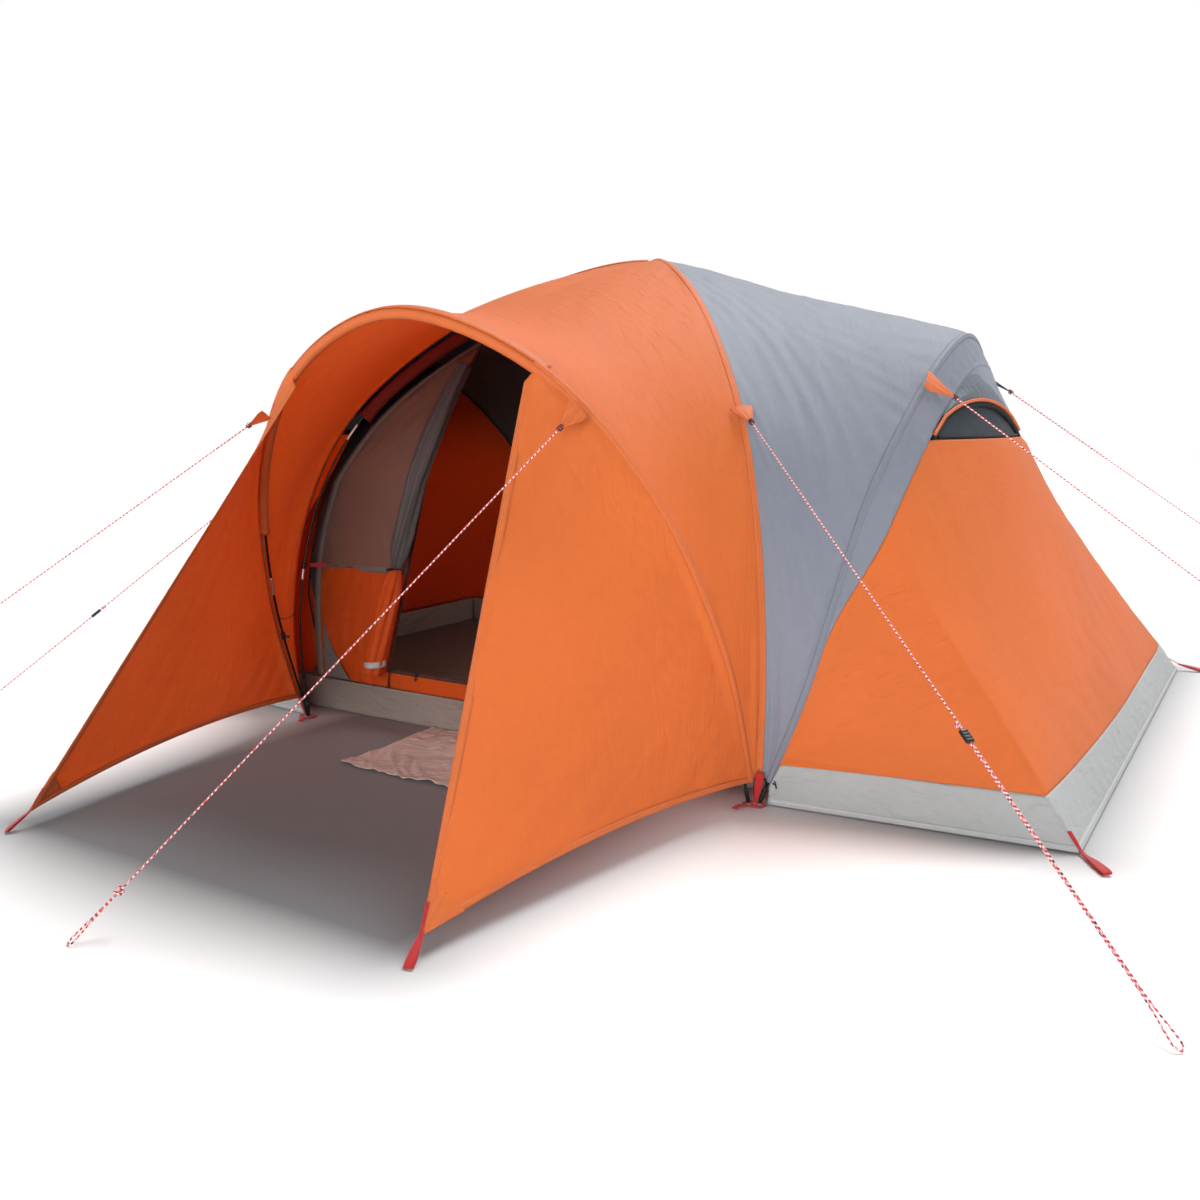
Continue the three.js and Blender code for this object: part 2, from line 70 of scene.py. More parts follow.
DOOR_FOOT = 0.2
DOOR_TOP = 1.5
DOOR_LEAN = 0.14
HEM_Z = 0.006
HIP = 0.25
LEAVE = 0.8
WING_TOP = 0.375
CORD_D = 0.0045
FOOT_S = 0.02  # the cloth starts this far up the poles
MIRROR = np.array([-1.0, 1.0, 1.0])
SIDES = (("right", 1, 0), ("left", MIRROR, 10))  # a side's name, the turn to it and what its seeds add
DOOR_SIDES = (("left", 1, 0), ("right", MIRROR, 10))  # the same for what is drawn on the door's side

# The camera and the floor
LENS = 33.74
CAMERA_PLACE = Vector((2.365, -3.131, 1.215))
CAMERA_DOWN = 9.416
CAMERA_TURN = 31.97
WHITE = (0.96, 0.96, 0.96)
FLOOR_HALF = 30
PAINTED_SHADOW_BOXES = (((-0.82, -1.3), (0.66, 0.3)), ((-1.85, 0.15), (1.85, 2.75)))  # painted shadow on the floor: under the porch, and under the cabins


def xyz(x, y, z):
    return np.array([x, y, z], float)


def unit(a):
    return a / np.maximum(np.linalg.norm(a, axis=-1, keepdims=True), 1e-9)


def smooth(t):
    t = np.clip(t, 0, 1)
    return t * t * (3 - 2 * t)


def column(values):
    return np.asarray(values, float)[..., None]


# ---- Camera and light ----
def make_camera():
    data = bpy.data.cameras.new("camera")
    data.sensor_width = 36
    data.lens = LENS
    camera = bpy.data.objects.new("camera", data)
    camera.location = ROW + CAMERA_PLACE
    camera.rotation_euler = (math.radians(90 - CAMERA_DOWN), 0, math.radians(CAMERA_TURN))
    bpy.context.scene.collection.objects.link(camera)
    bpy.context.scene.camera = camera


def area_light(name, place, target, size, power, colour=(1, 1, 1)):
    data = bpy.data.lights.new(name, "AREA")
    data.energy = power
    data.size = size
    data.color = colour
    light = bpy.data.objects.new(name, data)
    light.location = place
    light.rotation_euler = (Vector(target) - Vector(place)).to_track_quat("-Z", "Y").to_euler()
    bpy.context.scene.collection.objects.link(light)


def sun_light(name, place, spread, strength):
    """Even light from one direction, soft by that spread in degrees."""
    data = bpy.data.lights.new(name, "SUN")
    data.energy = strength
    data.angle = math.radians(spread)
    light = bpy.data.objects.new(name, data)
    light.rotation_euler = Vector(place).to_track_quat("Z", "Y").to_euler()
    bpy.context.scene.collection.objects.link(light)


def make_studio():
    sun_light("top", (0.3, 3.3, 5.2), 34, 3.4)
    sun_light("front", (1.5, -6, 0.9), 50, 2.4)
    area_light("inner_fill", (0, 0.25, 1.2), (0, 0.35, 0), 0.6, 9)
    make_sky()
    bpy.context.scene.view_settings.view_transform = "Standard"
    mesh = bpy.data.meshes.new("floor")
    half = FLOOR_HALF
    corners = [(-half, -half, 0), (half, -half, 0), (half, half, 0), (-half, half, 0)]
    mesh.from_pydata(corners, [], [(0, 1, 2, 3)])
    floor = bpy.data.objects.new("floor", mesh)
    floor.location.z = -0.0005
    bpy.context.scene.collection.objects.link(floor)
    mesh.materials.append(floor_with_painted_shadow())


def floor_with_painted_shadow():
    """A white floor with a painted shadow: darker under the porch and the cabins, with a soft edge."""
    paint = Paint("floor_with_painted_shadow", WHITE, 0.9)
    parts = paint.node("ShaderNodeSeparateXYZ", {0: paint.coordinates("Object")}).outputs
    shades = []
    for (low_x, low_y), (high_x, high_y) in PAINTED_SHADOW_BOXES:
        outside = []
        for part, low, high in ((parts[0], low_x, high_x), (parts[1], low_y + ROW.y, high_y + ROW.y)):
            offset = paint.math("ABSOLUTE", paint.math("SUBTRACT", part, (low + high) / 2))
            outside.append(paint.math("MAXIMUM", paint.math("SUBTRACT", offset, (high - low) / 2), 0.0))
        squared = [paint.math("MULTIPLY", gap, gap) for gap in outside]
        distance = paint.math("SQRT", paint.math("ADD", *squared))
        shades.append(paint.math("POWER", paint.ramp(distance, 0.42, 0.0), 1.5))
    # The painted shadow's grey is mixed into the white where the boxes reach.
    paint.base(paint.mix(paint.math("MAXIMUM", *shades), WHITE, (0.5, 0.51, 0.52)))
    return paint.material


def make_sky():
    """A white band round the horizon under a dimmer sky."""
    world = bpy.data.worlds.new("studio")
    world.use_nodes = True
    tree = world.node_tree
    where = tree.nodes.new("ShaderNodeTexCoord").outputs["Generated"]
    height = tree.nodes.new("ShaderNodeSeparateXYZ")
    strength = tree.nodes.new("ShaderNodeMapRange")
    for name, value in (("From Min", 0.44), ("From Max", 0.62), ("To Min", 1.0), ("To Max", 0.1)):
        strength.inputs[name].default_value = value
    background = tree.nodes["Background"]
    background.inputs["Color"].default_value = (1, 1, 1, 1)
    tree.links.new(where, height.inputs[0])
    tree.links.new(height.outputs["Z"], strength.inputs["Value"])
    tree.links.new(strength.outputs[0], background.inputs["Strength"])
    bpy.context.scene.world = world


# ---- Materials ----
def linear(rgb):
    return tuple(c / 12.92 if c <= 0.04045 else ((c + 0.055) / 1.055) ** 2.4 for c in rgb)


MIX_A, MIX_B, MIX_RESULT = 6, 7, 2  # the colour sockets of a Mix node


class Paint:
    """A node material, with small helpers to wire it."""

    def __init__(self, name, colour, roughness, metallic=0.0):
        self.material = bpy.data.materials.new(name)
        self.material.use_nodes = True
        self.tree = self.material.node_tree
        self.shader = self.tree.nodes["Principled BSDF"]
        self.output = self.tree.nodes["Material Output"]
        self.shader.inputs["Base Color"].default_value = (*linear(colour), 1)
        self.shader.inputs["Roughness"].default_value = roughness
        self.shader.inputs["Metallic"].default_value = metallic

    def node(self, kind, values=None, **settings):
        made = self.tree.nodes.new(kind)
        for key, value in settings.items():
            setattr(made, key, value)
        for key, value in (values or {}).items():
            if isinstance(value, bpy.types.NodeSocket):
                self.tree.links.new(value, made.inputs[key])
            else:
                made.inputs[key].default_value = value
        return made

    def math(self, operation, a, b=0.0):
        return self.node("ShaderNodeMath", {0: a, 1: b}, operation=operation).outputs[0]

    def coordinates(self, which="UV", scale=(1, 1, 1)):
        source = self.node("ShaderNodeTexCoord").outputs[which]
        return self.node("ShaderNodeMapping", {"Vector": source, "Scale": scale}).outputs[0]

    def noise(self, where, scale, detail=3.0, roughness=0.5):
        values = {"Vector": where, "Scale": scale, "Detail": detail, "Roughness": roughness}
        return self.node("ShaderNodeTexNoise", values).outputs["Fac"]

    def bands(self, where, direction, period):
        """A wave of 0 to 1 with that period in metres."""
        values = {"Vector": where, "Scale": math.pi / (10 * period)}
        return self.node("ShaderNodeTexWave", values, bands_direction=direction).outputs["Fac"]

    def ramp(self, value, low, high):
        values = {"Value": value, "From Min": low, "From Max": high}
        return self.node("ShaderNodeMapRange", values, clamp=True).outputs[0]

    def mix(self, share, a, b):
        made = self.node("ShaderNodeMix", data_type="RGBA")
        for key, value in ((0, share), (MIX_A, a), (MIX_B, b)):
            if isinstance(value, bpy.types.NodeSocket):
                self.tree.links.new(value, made.inputs[key])
            else:
                made.inputs[key].default_value = value if key == 0 else (*linear(value), 1)
        return made.outputs[MIX_RESULT]

    def base(self, socket):
        self.tree.links.new(socket, self.shader.inputs["Base Color"])

    def bump(self, height, distance, strength=1.0, below=None):
        values = {"Height": height, "Distance": distance, "Strength": strength}
        if below is not None:
            values["Normal"] = below
        made = self.node("ShaderNodeBump", values).outputs[0]
        if self.shader.inputs["Normal"].links:
            self.tree.links.remove(self.shader.inputs["Normal"].links[0])
        self.tree.links.new(made, self.shader.inputs["Normal"])
        return made

    def blend(self, other, share):
        """Shows another shader through this one, by that share."""
        made = self.node("ShaderNodeMixShader", {0: share, 1: self.shader.outputs[0], 2: other})
        self.tree.links.new(made.outputs[0], self.output.inputs["Surface"])


def shade(colour, by):
    return tuple(min(max(c * by, 0), 1) for c in colour)


def fabric(name, colour, roughness=0.55, glow=0.25, weave=0.0011, crinkle=0.0045, sheer=0.0, lit=None,
           stitches=()):
    """Coated tent cloth: a plain weave, faint packing creases, and light that comes through it.

    Stitches run along the cloth at those distances from its middle.
    """
    paint = Paint(name, colour, roughness)
    uv = paint.coordinates("UV")
    place = paint.coordinates("Object")
    broad = paint.ramp(paint.noise(place, 1.3, 2.0), 0.35, 0.65)
    fine = paint.noise(place, 38.0, 4.0, 0.6)
    colour_now = paint.mix(broad, shade(colour, 0.95), shade(colour, 1.04))
    threads = paint.math("MULTIPLY", paint.bands(uv, "X", weave), paint.bands(uv, "Y", weave))
    spots = paint.math("ADD", paint.math("MULTIPLY", fine, 0.6), paint.math("MULTIPLY", threads, 0.4))
    speckled = paint.mix(paint.ramp(spots, 0.2, 0.75), shade(colour, 0.93), shade(colour, 1.05))
    painted = paint.mix(0.5, colour_now, speckled)
    stretched = paint.coordinates("UV", (2.2, 7.0, 1))
    crease = paint.noise(stretched, 2.3, 5.0, 0.55)
    ridged = paint.math("ABSOLUTE", paint.math("SUBTRACT", crease, 0.5))
    pack = paint.ramp(ridged, 0.0, 0.09)
    soft = paint.bump(paint.math("ADD", crease, paint.math("MULTIPLY", pack, 0.22)), crinkle)
    woven = paint.bump(threads, weave * 0.16, 0.7, soft)
    if stitches:
        across = paint.math("ABSOLUTE", paint.node("ShaderNodeSeparateXYZ", {0: uv}).outputs[1])
        gaps = [paint.math("ABSOLUTE", paint.math("SUBTRACT", across, row)) for row in stitches]
        nearest = gaps[0]
        for gap in gaps[1:]:
            nearest = paint.math("MINIMUM", nearest, gap)
        row = paint.ramp(nearest, 0.0011, 0.0006)
        thread = paint.math("MULTIPLY", row, paint.ramp(paint.bands(uv, "X", 0.0046), 0.25, 0.4))
        painted = paint.mix(thread, painted, shade(colour, 1.3))
        paint.bump(paint.math("SUBTRACT", paint.math("MULTIPLY", thread, 1.6), row), 0.0006, 1.0, woven)
    paint.base(painted)
    paint.shader.inputs["Sheen Weight"].default_value = 0.06
    paint.shader.inputs["Sheen Roughness"].default_value = 0.4
    paint.shader.inputs["Specular IOR Level"].default_value = 0.25
    through = paint.node("ShaderNodeBsdfTranslucent", {"Color": (*linear(lit or colour), 1)})
    paint.blend(through.outputs[0], glow)
    if sheer:
        last = paint.output.inputs["Surface"].links[0].from_socket
        clear = paint.node("ShaderNodeBsdfTransparent")
        made = paint.node("ShaderNodeMixShader", {0: sheer, 1: last, 2: clear.outputs[0]})
        paint.tree.links.new(made.outputs[0], paint.output.inputs["Surface"])
    return paint.material


def webbing(name, colour, period=0.0022):
    """Flat woven tape: ribs across it."""
    paint = Paint(name, colour, 0.75)
    uv = paint.coordinates("UV")
    ribs = paint.bands(uv, "Y", period)
    twill = paint.bands(uv, "DIAGONAL", period * 1.7)
    both = paint.math("ADD", paint.math("MULTIPLY", ribs, 0.6), paint.math("MULTIPLY", twill, 0.4))
    fuzz = paint.noise(paint.coordinates("Object"), 220.0, 2.0)
    paint.base(paint.mix(paint.math("MULTIPLY", both, fuzz), shade(colour, 0.7), shade(colour, 1.25)))
    paint.bump(both, 0.0005)
    paint.shader.inputs["Sheen Weight"].default_value = 0.2
    return paint.material


def braid(name):
    """Guy line: white and red strands, with a dark fleck now and then."""
    paint = Paint(name, (0.8, 0.3, 0.3), 0.7)
    uv = paint.coordinates("UV")
    strands = paint.bands(uv, "DIAGONAL", 0.0075)
    picks = paint.bands(uv, "Y", 0.011)
    red = paint.ramp(paint.math("ADD", strands, paint.math("MULTIPLY", picks, 0.8)), 0.75, 0.95)
    fleck = paint.ramp(paint.noise(paint.coordinates("UV", (60, 60, 60)), 1.0, 1.0), 0.62, 0.66)
    flecked = paint.mix(fleck, (0.78, 0.12, 0.16), (0.16, 0.06, 0.08))
    paint.base(paint.mix(red, (0.93, 0.87, 0.87), flecked))
    paint.bump(strands, 0.0006)
    return paint.material


def plastic(name, colour, roughness=0.4):
    paint = Paint(name, colour, roughness)
    grain = paint.noise(paint.coordinates("Object"), 900.0, 2.0)
    paint.bump(grain, 0.00008, 0.6)
    wear = paint.ramp(paint.noise(paint.coordinates("Object"), 60.0, 4.0), 0.45, 0.75)
    paint.base(paint.mix(wear, colour, shade(colour, 1.35)))
    return paint.material


def drawn_metal(name, colour):
    paint = Paint(name, colour, 0.25, 1.0)
    streak = paint.noise(paint.coordinates("UV", (900, 12, 1)), 1.0, 3.0)
    made = paint.node("ShaderNodeMapRange", {"Value": streak, "To Min": 0.18, "To Max": 0.4})
    paint.tree.links.new(made.outputs[0], paint.shader.inputs["Roughness"])
    return paint.material


ORANGE = fabric("orange_fly", (0.92, 0.52, 0.26), glow=0.42, lit=(1.0, 0.57, 0.06))
ORANGE_SEAM = fabric("orange_seam", (0.86, 0.445, 0.235), glow=0.2, crinkle=0.0015, stitches=(0.0095, 0.016))
ORANGE_INNER = fabric("orange_inner", (0.82, 0.36, 0.11), glow=0.42, lit=(0.95, 0.46, 0.1))
GREY = fabric("grey_fly", (0.53, 0.55, 0.6), glow=0.16, crinkle=0.002)
GREY_SEAM = fabric("grey_seam", (0.49, 0.51, 0.56), glow=0.08, crinkle=0.0015, stitches=(0.0085,))
GREY_DARK = fabric("grey_hood", (0.38, 0.41, 0.45), glow=0.1)
GREY_INNER = fabric("grey_inner", (0.34, 0.335, 0.335), glow=0.15)
BINDING = fabric("grey_binding", (0.45, 0.42, 0.4), glow=0.1, crinkle=0.0015, stitches=(0.009,))
PATCH = fabric("corner_patch", (0.44, 0.42, 0.41), glow=0.1, crinkle=0.002)
SKIRT = fabric("pale_skirt", (0.68, 0.69, 0.69), glow=0.12, crinkle=0.006)
SKIRT_HEM = fabric("skirt_hem", (0.7, 0.71, 0.71), roughness=0.6, glow=0.1, crinkle=0.002, stitches=(0.017,))
FLOOR = fabric("groundsheet", (0.34, 0.28, 0.235), roughness=0.45, glow=0.02, crinkle=0.01)
TUB = fabric("groundsheet_side", (0.56, 0.52, 0.49), roughness=0.5, glow=0.1, crinkle=0.009)
MAT = fabric("mat_cloth", (0.8, 0.74, 0.71), roughness=0.7, glow=0.02, crinkle=0.008)
BROWN_MESH = fabric("brown_mesh", (0.56, 0.43, 0.38), roughness=0.7, glow=0.3, weave=0.0016, sheer=0.2)
BLACK_MESH = fabric("vent_mesh", (0.23, 0.26, 0.29), roughness=0.8, glow=0.1, weave=0.002, sheer=0.1)
# Near-black: the vent's edge, and also the painted shade under the hood's piping.
VENT_EDGE_AND_SHADE = fabric("vent_edge", (0.07, 0.07, 0.08), roughness=0.8, glow=0.0, crinkle=0.001)
RED_SLEEVE = fabric("red_sleeve", (0.5, 0.14, 0.09), roughness=0.6, glow=0.2, crinkle=0.003)
RED_SEAM = fabric("red_brown_seam", (0.33, 0.12, 0.08), roughness=0.7, glow=0.05, crinkle=0.001)
ZIP_TAPE = fabric("zip_tape", (0.26, 0.17, 0.13), roughness=0.7, glow=0.0, weave=0.0016, crinkle=0.001)
RED = webbing("red_webbing", (0.78, 0.07, 0.09))
DARK_RED = webbing("dark_red_webbing", (0.42, 0.06, 0.07))
BLACK_WEB = webbing("black_webbing", (0.06, 0.06, 0.07))
BRAID = braid("guy_line_braid")
POLE = plastic("fibreglass", (0.035, 0.035, 0.04), 0.28)
HARD = plastic("moulded_black", (0.05, 0.05, 0.055), 0.4)
METAL = drawn_metal("bright_ferrule", (0.82, 0.82, 0.84))


# ---- Meshes ----
def link(name, points, faces, material, uv):
    """A mesh piece from points drawn in the design's frame. uv has one pair for each point."""
    mesh = bpy.data.meshes.new(name)
    points = np.asarray(points, float).reshape(-1, 3) + np.array(ROW)
    mesh.from_pydata(points.tolist(), [], [list(map(int, f)) for f in faces])
    corner = np.zeros(len(mesh.loops), np.int64)
    mesh.loops.foreach_get("vertex_index", corner)
    layer = mesh.uv_layers.new(name="metres")
    layer.data.foreach_set("uv", np.asarray(uv, np.float32)[corner].ravel())
    mesh.polygons.foreach_set("use_smooth", [True] * len(mesh.polygons))
    mesh.materials.append(material)
    mesh.validate()
    mesh.update()
    piece = bpy.data.objects.new(name, mesh)
    bpy.context.scene.collection.objects.link(piece)
    return piece


def lengths(points):
    """Lengths along both axes of a grid of points."""
    return run(points, 0), run(points, 1)


def normals(points):
    return unit(np.cross(np.gradient(points, axis=0), np.gradient(points, axis=1)))


def run(points, axis):
    """Length along one axis of a grid of points, from its middle."""
    steps = np.linalg.norm(np.diff(points, axis=axis), axis=-1)
    shape = list(points.shape[:2])
    shape[axis] = 1
    total = np.concatenate([np.zeros(shape), np.cumsum(steps, axis=axis)], axis=axis)
    return total - np.expand_dims(total.take(total.shape[axis] // 2, axis=axis), axis)


HUB = xyz(0, 1.07, 0.35)  # cloth faces away from here


def faces_in(points, out, centre):
    return np.sum(out * (points - centre)) < 0


def shell(points, thickness, centre=HUB):
    """Points and faces of a sheet of that thickness, its outer side away from the centre."""
    rows, columns = points.shape[:2]
    out = normals(points)
    flip = faces_in(points, out, centre)
    if flip:
        out = -out
    both = np.stack([points + out * thickness / 2, points - out * thickness / 2])
    index = np.arange(2 * rows * columns).reshape(2, rows, columns)
    top, under = index
    quads = [
        np.stack([top[:-1, :-1], top[1:, :-1], top[1:, 1:], top[:-1, 1:]], -1),
        np.stack([under[:-1, :-1], under[:-1, 1:], under[1:, 1:], under[1:, :-1]], -1),
        np.stack([under[:-1, 0], under[1:, 0], top[1:, 0], top[:-1, 0]], -1),
        np.stack([under[1:, -1], under[:-1, -1], top[:-1, -1], top[1:, -1]], -1),
        np.stack([under[0, 1:], under[0, :-1], top[0, :-1], top[0, 1:]], -1),
        np.stack([under[-1, :-1], under[-1, 1:], top[-1, 1:], top[-1, :-1]], -1),
    ]
    faces = np.concatenate([q.reshape(-1, 4) for q in quads])
    if flip:
        faces = faces[:, ::-1]
    uv = np.stack([run(points, 0), run(points, 1)], -1)
    return both.reshape(-1, 3), faces, np.stack([uv, uv]).reshape(-1, 2)


def cloth(name, points, material, relief=None, thickness=0.0012, centre=HUB,
          stands_for=(), slot=None):
    """A sheet of cloth on a grid of points, moved out from the centre by the relief."""
    cut_width = float(np.abs(np.diff(run(points, 0)[[0, -1]], axis=0)).max())
    cut_length = float(np.abs(np.diff(run(points, 1)[:, [0, -1]], axis=1)).max())
    if relief is not None:
        out = normals(points)
        if faces_in(points, out, centre):
            out = -out
        points = points + out * relief[..., None]
    piece = body(name, shell(points, thickness, centre), material, stands_for=stands_for, slot=slot)
    return piece


def frames(path):
    """Directions along a path and two across it, which don't twist."""
    along = unit(np.gradient(path, axis=0))
    side = np.zeros_like(path)
    guess = xyz(0, 0, 1) if abs(along[0][2]) < 0.9 else xyz(1, 0, 0)
    for i, direction in enumerate(along):
        guess = unit(guess - direction * np.dot(guess, direction))
        side[i] = guess
    return along, side, np.cross(along, side)


def rings_mesh(rings, across, length):
    """A closed body through rings of points, with its uv by the way round and the length."""
    steps, sides = rings.shape[:2]
    index = np.arange(steps * sides).reshape(steps, sides)
    after = np.roll(index, -1, axis=1)
    faces = np.stack([index[:-1], after[:-1], after[1:], index[1:]], -1).reshape(-1, 4).tolist()
    faces += [index[0][::-1].tolist(), index[-1].tolist()]
    uv = np.stack([np.broadcast_to(across, index.shape), np.broadcast_to(column(length), index.shape)], -1)
    return rings.reshape(-1, 3), faces, uv.reshape(-1, 2)


def tube_mesh(path, radius, sides=12):
    """A tube along a path. The radius is a number, one for each step, or one for each step and side."""
    path = np.asarray(path, float)
    _, side, up = frames(path)
    turn = np.linspace(0, 2 * math.pi, sides, endpoint=False)
    radius = np.asarray(radius, float)
    if radius.ndim < 2:
        radius = np.broadcast_to(radius.reshape(-1, 1), (len(path), sides))
    ring = side[:, None] * np.cos(turn)[None, :, None] + up[:, None] * np.sin(turn)[None, :, None]
    length = np.concatenate([[0], np.cumsum(np.linalg.norm(np.diff(path, axis=0), axis=1))])
    girth = 2 * math.pi * float(radius.mean()) / sides
    return rings_mesh(path[:, None] + ring * radius[..., None], np.arange(sides) * girth, length)


def rounded_bar(origin, along, across, length, half_wide, half_thick, waist=(), sides=24, steps=25):
    """A bar of rounded section with rounded ends. Each waist is a place along it, a reach and a depth."""
    up = np.cross(along, across)
    t = np.linspace(0, 1, steps)
    turn = np.linspace(0, 2 * math.pi, sides, endpoint=False)
    x = np.sign(np.cos(turn)) * np.abs(np.cos(turn)) ** 0.5 * half_wide
    y = np.sign(np.sin(turn)) * np.abs(np.sin(turn)) ** 0.5 * half_thick
    scale = 1 - 0.3 * np.abs(2 * t - 1) ** 10
    deep = np.ones(steps)
    for middle, reach, depth in waist:
        deep -= depth * np.exp(-(((t - middle) / reach) ** 4))
    rings = (origin + along * column(t * length))[:, None]
    rings = rings + across * (x * column(scale))[..., None] + up * (y * column(scale * deep))[..., None]
    return rings_mesh(rings, x, t * length)


def tube(name, path, radius, material, sides=12, **rest):
    return body(name, tube_mesh(path, radius, sides), material, **rest)


def body(name, mesh, material, rides="tent", stands_for=(), slot=None):
    """A piece from points, faces and uv."""
    points, faces, uv = mesh
    piece = link(name, points, faces, material, uv)
    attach(piece, rides)
    if stands_for:
        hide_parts(*stands_for)
    return piece


def join_meshes(parts):
    """One list of points, faces and uv from several."""
    points, faces, uvs, start = [], [], [], 0
    for corner, face, uv in parts:
        points.append(np.asarray(corner, float).reshape(-1, 3))
        faces += [[int(i) + start for i in f] for f in face]
        uvs.append(np.asarray(uv, float).reshape(-1, 2))
        start += len(points[-1])
    return np.concatenate(points), faces, np.concatenate(uvs)


# ---- Curves of the poles ----
def spline(points):
    """The centripetal curve through the points, by share of its length."""
    p = np.array(points, float)
    p = np.vstack([2 * p[0] - p[1], p, 2 * p[-1] - p[-2]])
    track = []
    for a, b, c, d in zip(p, p[1:], p[2:], p[3:]):
        knots = np.cumsum([0] + [math.sqrt(np.linalg.norm(f - e)) for e, f in ((a, b), (b, c), (c, d))])
        t = np.linspace(knots[1], knots[2], 120)[:, None]
        k0, k1, k2, k3 = knots
        ab = (k1 - t) / (k1 - k0) * a + (t - k0) / (k1 - k0) * b
        bc = (k2 - t) / (k2 - k1) * b + (t - k1) / (k2 - k1) * c
        cd = (k3 - t) / (k3 - k2) * c + (t - k2) / (k3 - k2) * d
        abc = (k2 - t) / (k2 - k0) * ab + (t - k0) / (k2 - k0) * bc
        bcd = (k3 - t) / (k3 - k1) * bc + (t - k1) / (k3 - k1) * cd
        track.append((k2 - t) / (k2 - k1) * abc + (t - k1) / (k2 - k1) * bcd)
    track = np.concatenate(track)
    length = np.concatenate([[0], np.cumsum(np.linalg.norm(np.diff(track, axis=0), axis=1))])

    def at(s):
        where = np.clip(s, 0, 1) * length[-1]
        return np.stack([np.interp(where, length, track[:, k]) for k in range(3)], -1)

    at.length = length[-1]
    return at


def arch(half, top, opposite):
    return spline([*half, top, *[opposite(p) for p in reversed(half)]])


SPAN = math.hypot(2 * FOOT_X, REAR_Y)
RISE = [(0, 0.01), (-0.015, 0.435), (0.07, 0.866), (0.25, 1.19), (0.585, 1.479), (1.002, 1.695)]


def main_pole(side, lift):
    def stand(p, z):
        return (side * (2 * FOOT_X / SPAN * p - FOOT_X), REAR_Y / SPAN * p, z + lift)

    rise = [stand(p, z) for p, z in RISE]
    fall = [stand(SPAN - p, z) for p, z in reversed(RISE)]
    return spline([*rise, stand(SPAN / 2, CROSS_Z), *fall])


def on_porch(x, z):
    inward = -0.014 * (1 - z / PORCH_Z)
    return (x + np.sign(x) * inward, -0.014 - PORCH_LEAN * z, z)


PORCH_HALF = [(FOOT_X, 0.01), (0.947, 0.53), (0.781, 0.998), (0.476, 1.344)]
CABIN_HALF = [(0.016, 0, 0.01), (0.134, 0.042, 0.372), (0.236, 0.335, 1.01)]
pole_left = main_pole(1, 0)
pole_right = main_pole(-1, POLE_D + 0.002)
pole_porch = arch(
    [on_porch(-x, z) for x, z in PORCH_HALF],
    on_porch(0, PORCH_Z),
    lambda p: (-p[0], p[1], p[2]),
)
pole_cabin = arch(
    [(FOOT_X + out, y, z) for out, y, z in CABIN_HALF],
    (FOOT_X + 0.305, REAR_Y / 2, 1.474),
    lambda p: (p[0], REAR_Y - p[1], p[2]),
)

PORCH_HUB = xyz(0, -0.12, 0.35)
CABIN_HUB = xyz(0.5, 1.07, 0.35)


def off(curve, s, distance, centre):
    point = curve(s)
    out = point - centre
    out[..., 2] = np.maximum(out[..., 2], 0)
    return point + unit(out) * distance


def ridge(curve, distance):
    def at(s):
        point = off(curve, s, distance, HUB)
        point[..., 0] = np.abs(point[..., 0])
        return point

    return at


def leave(edge, hem):
    """An edge that follows the poles to LEAVE of its length and then runs straight to its hem."""

    def at(s):
        share = column(np.clip((np.asarray(s, float) - LEAVE) / (1 - LEAVE), 0, 1))
        from_pole = edge(np.minimum(s, LEAVE))
        return from_pole * (1 - share) + np.array(hem) * share

    return at


fly_ridge = leave(ridge(pole_right, SKIN), (FOOT_X, BACK_Y, HEM_Z))
fly_arch = leave(lambda s: off(pole_cabin, s, SKIN, CABIN_HUB), (FOOT_X + 0.055, BACK_Y, HEM_Z))


def porch_seam(s, distance=SKIN):
    return off(pole_porch, s, distance, PORCH_HUB)


def rear_hem(s):
    s = np.asarray(s, float)
    return np.stack([FOOT_X * (2 * s - 1), np.full_like(s, BACK_Y), np.full_like(s, HEM_Z)], -1)


def cornered(start, front, rear, end):
    """An edge with a corner at the front and one at the rear."""

    def at(s):
        s = np.asarray(s, float)
        first = column(np.clip((s - FOOT_S) / (HIP - FOOT_S), 0, 1))
        middle = column(np.clip((s - HIP) / (1 - 2 * HIP), 0, 1))
        last = column(np.clip((s - 1 + HIP) / HIP, 0, 1))
        return start + (front - start) * first + (rear - front) * middle + (end - rear) * last

    return at


side_hem = cornered(
    xyz(FOOT_X + 0.03, 0.012, HEM_Z),
    xyz(SIDE_X, EDGE_Y, HEM_Z),
    xyz(SIDE_X, BACK_Y, HEM_Z),
    xyz(FOOT_X + 0.09, BACK_Y, HEM_Z),
)


def lerp(a, b, share):
    return a * (1 - share) + b * share


def between(edge_a, edge_b):
    return lambda u, v: lerp(edge_a(u), edge_b(u), column(v))


def mesh_grid(us, vs):
    return np.meshgrid(np.asarray(us, float), np.asarray(vs, float), indexing="ij")


# ---- Folds ----
def sine(turns):
    return np.sin(2 * math.pi * turns)


def folds(across, along, period, seed, parts=6):
    """Soft folds that run along one way and come and go, from about -1 to 1."""
    chance = np.random.default_rng(seed)
    total = np.zeros_like(across)
    for _ in range(parts):
        p = period * chance.uniform(0.55, 1.9)
        reach = period * chance.uniform(4, 11)
        wander = p * 0.6 * sine(along / reach + chance.uniform())
        come = 0.5 + 0.5 * sine(along / (reach * 1.3) + across / (p * 7) + chance.uniform())
        wave = sine((across + wander + along * chance.uniform(-0.12, 0.12)) / p + chance.uniform())
        total += come**2 * (1 - 2 * np.abs(wave) ** 0.8) * chance.choice([-1, 1])
    return total / math.sqrt(parts)


def lumps(x, y, size, seed, parts=9):
    """Smooth unevenness, from about -1 to 1."""
    chance = np.random.default_rng(seed)
    total = np.zeros_like(x)
    for _ in range(parts):
        turn = chance.uniform(0, math.pi)
        p = size * chance.uniform(0.6, 2.2)
        total += sine((x * math.cos(turn) + y * math.sin(turn)) / p + chance.uniform())
    return total / math.sqrt(parts)


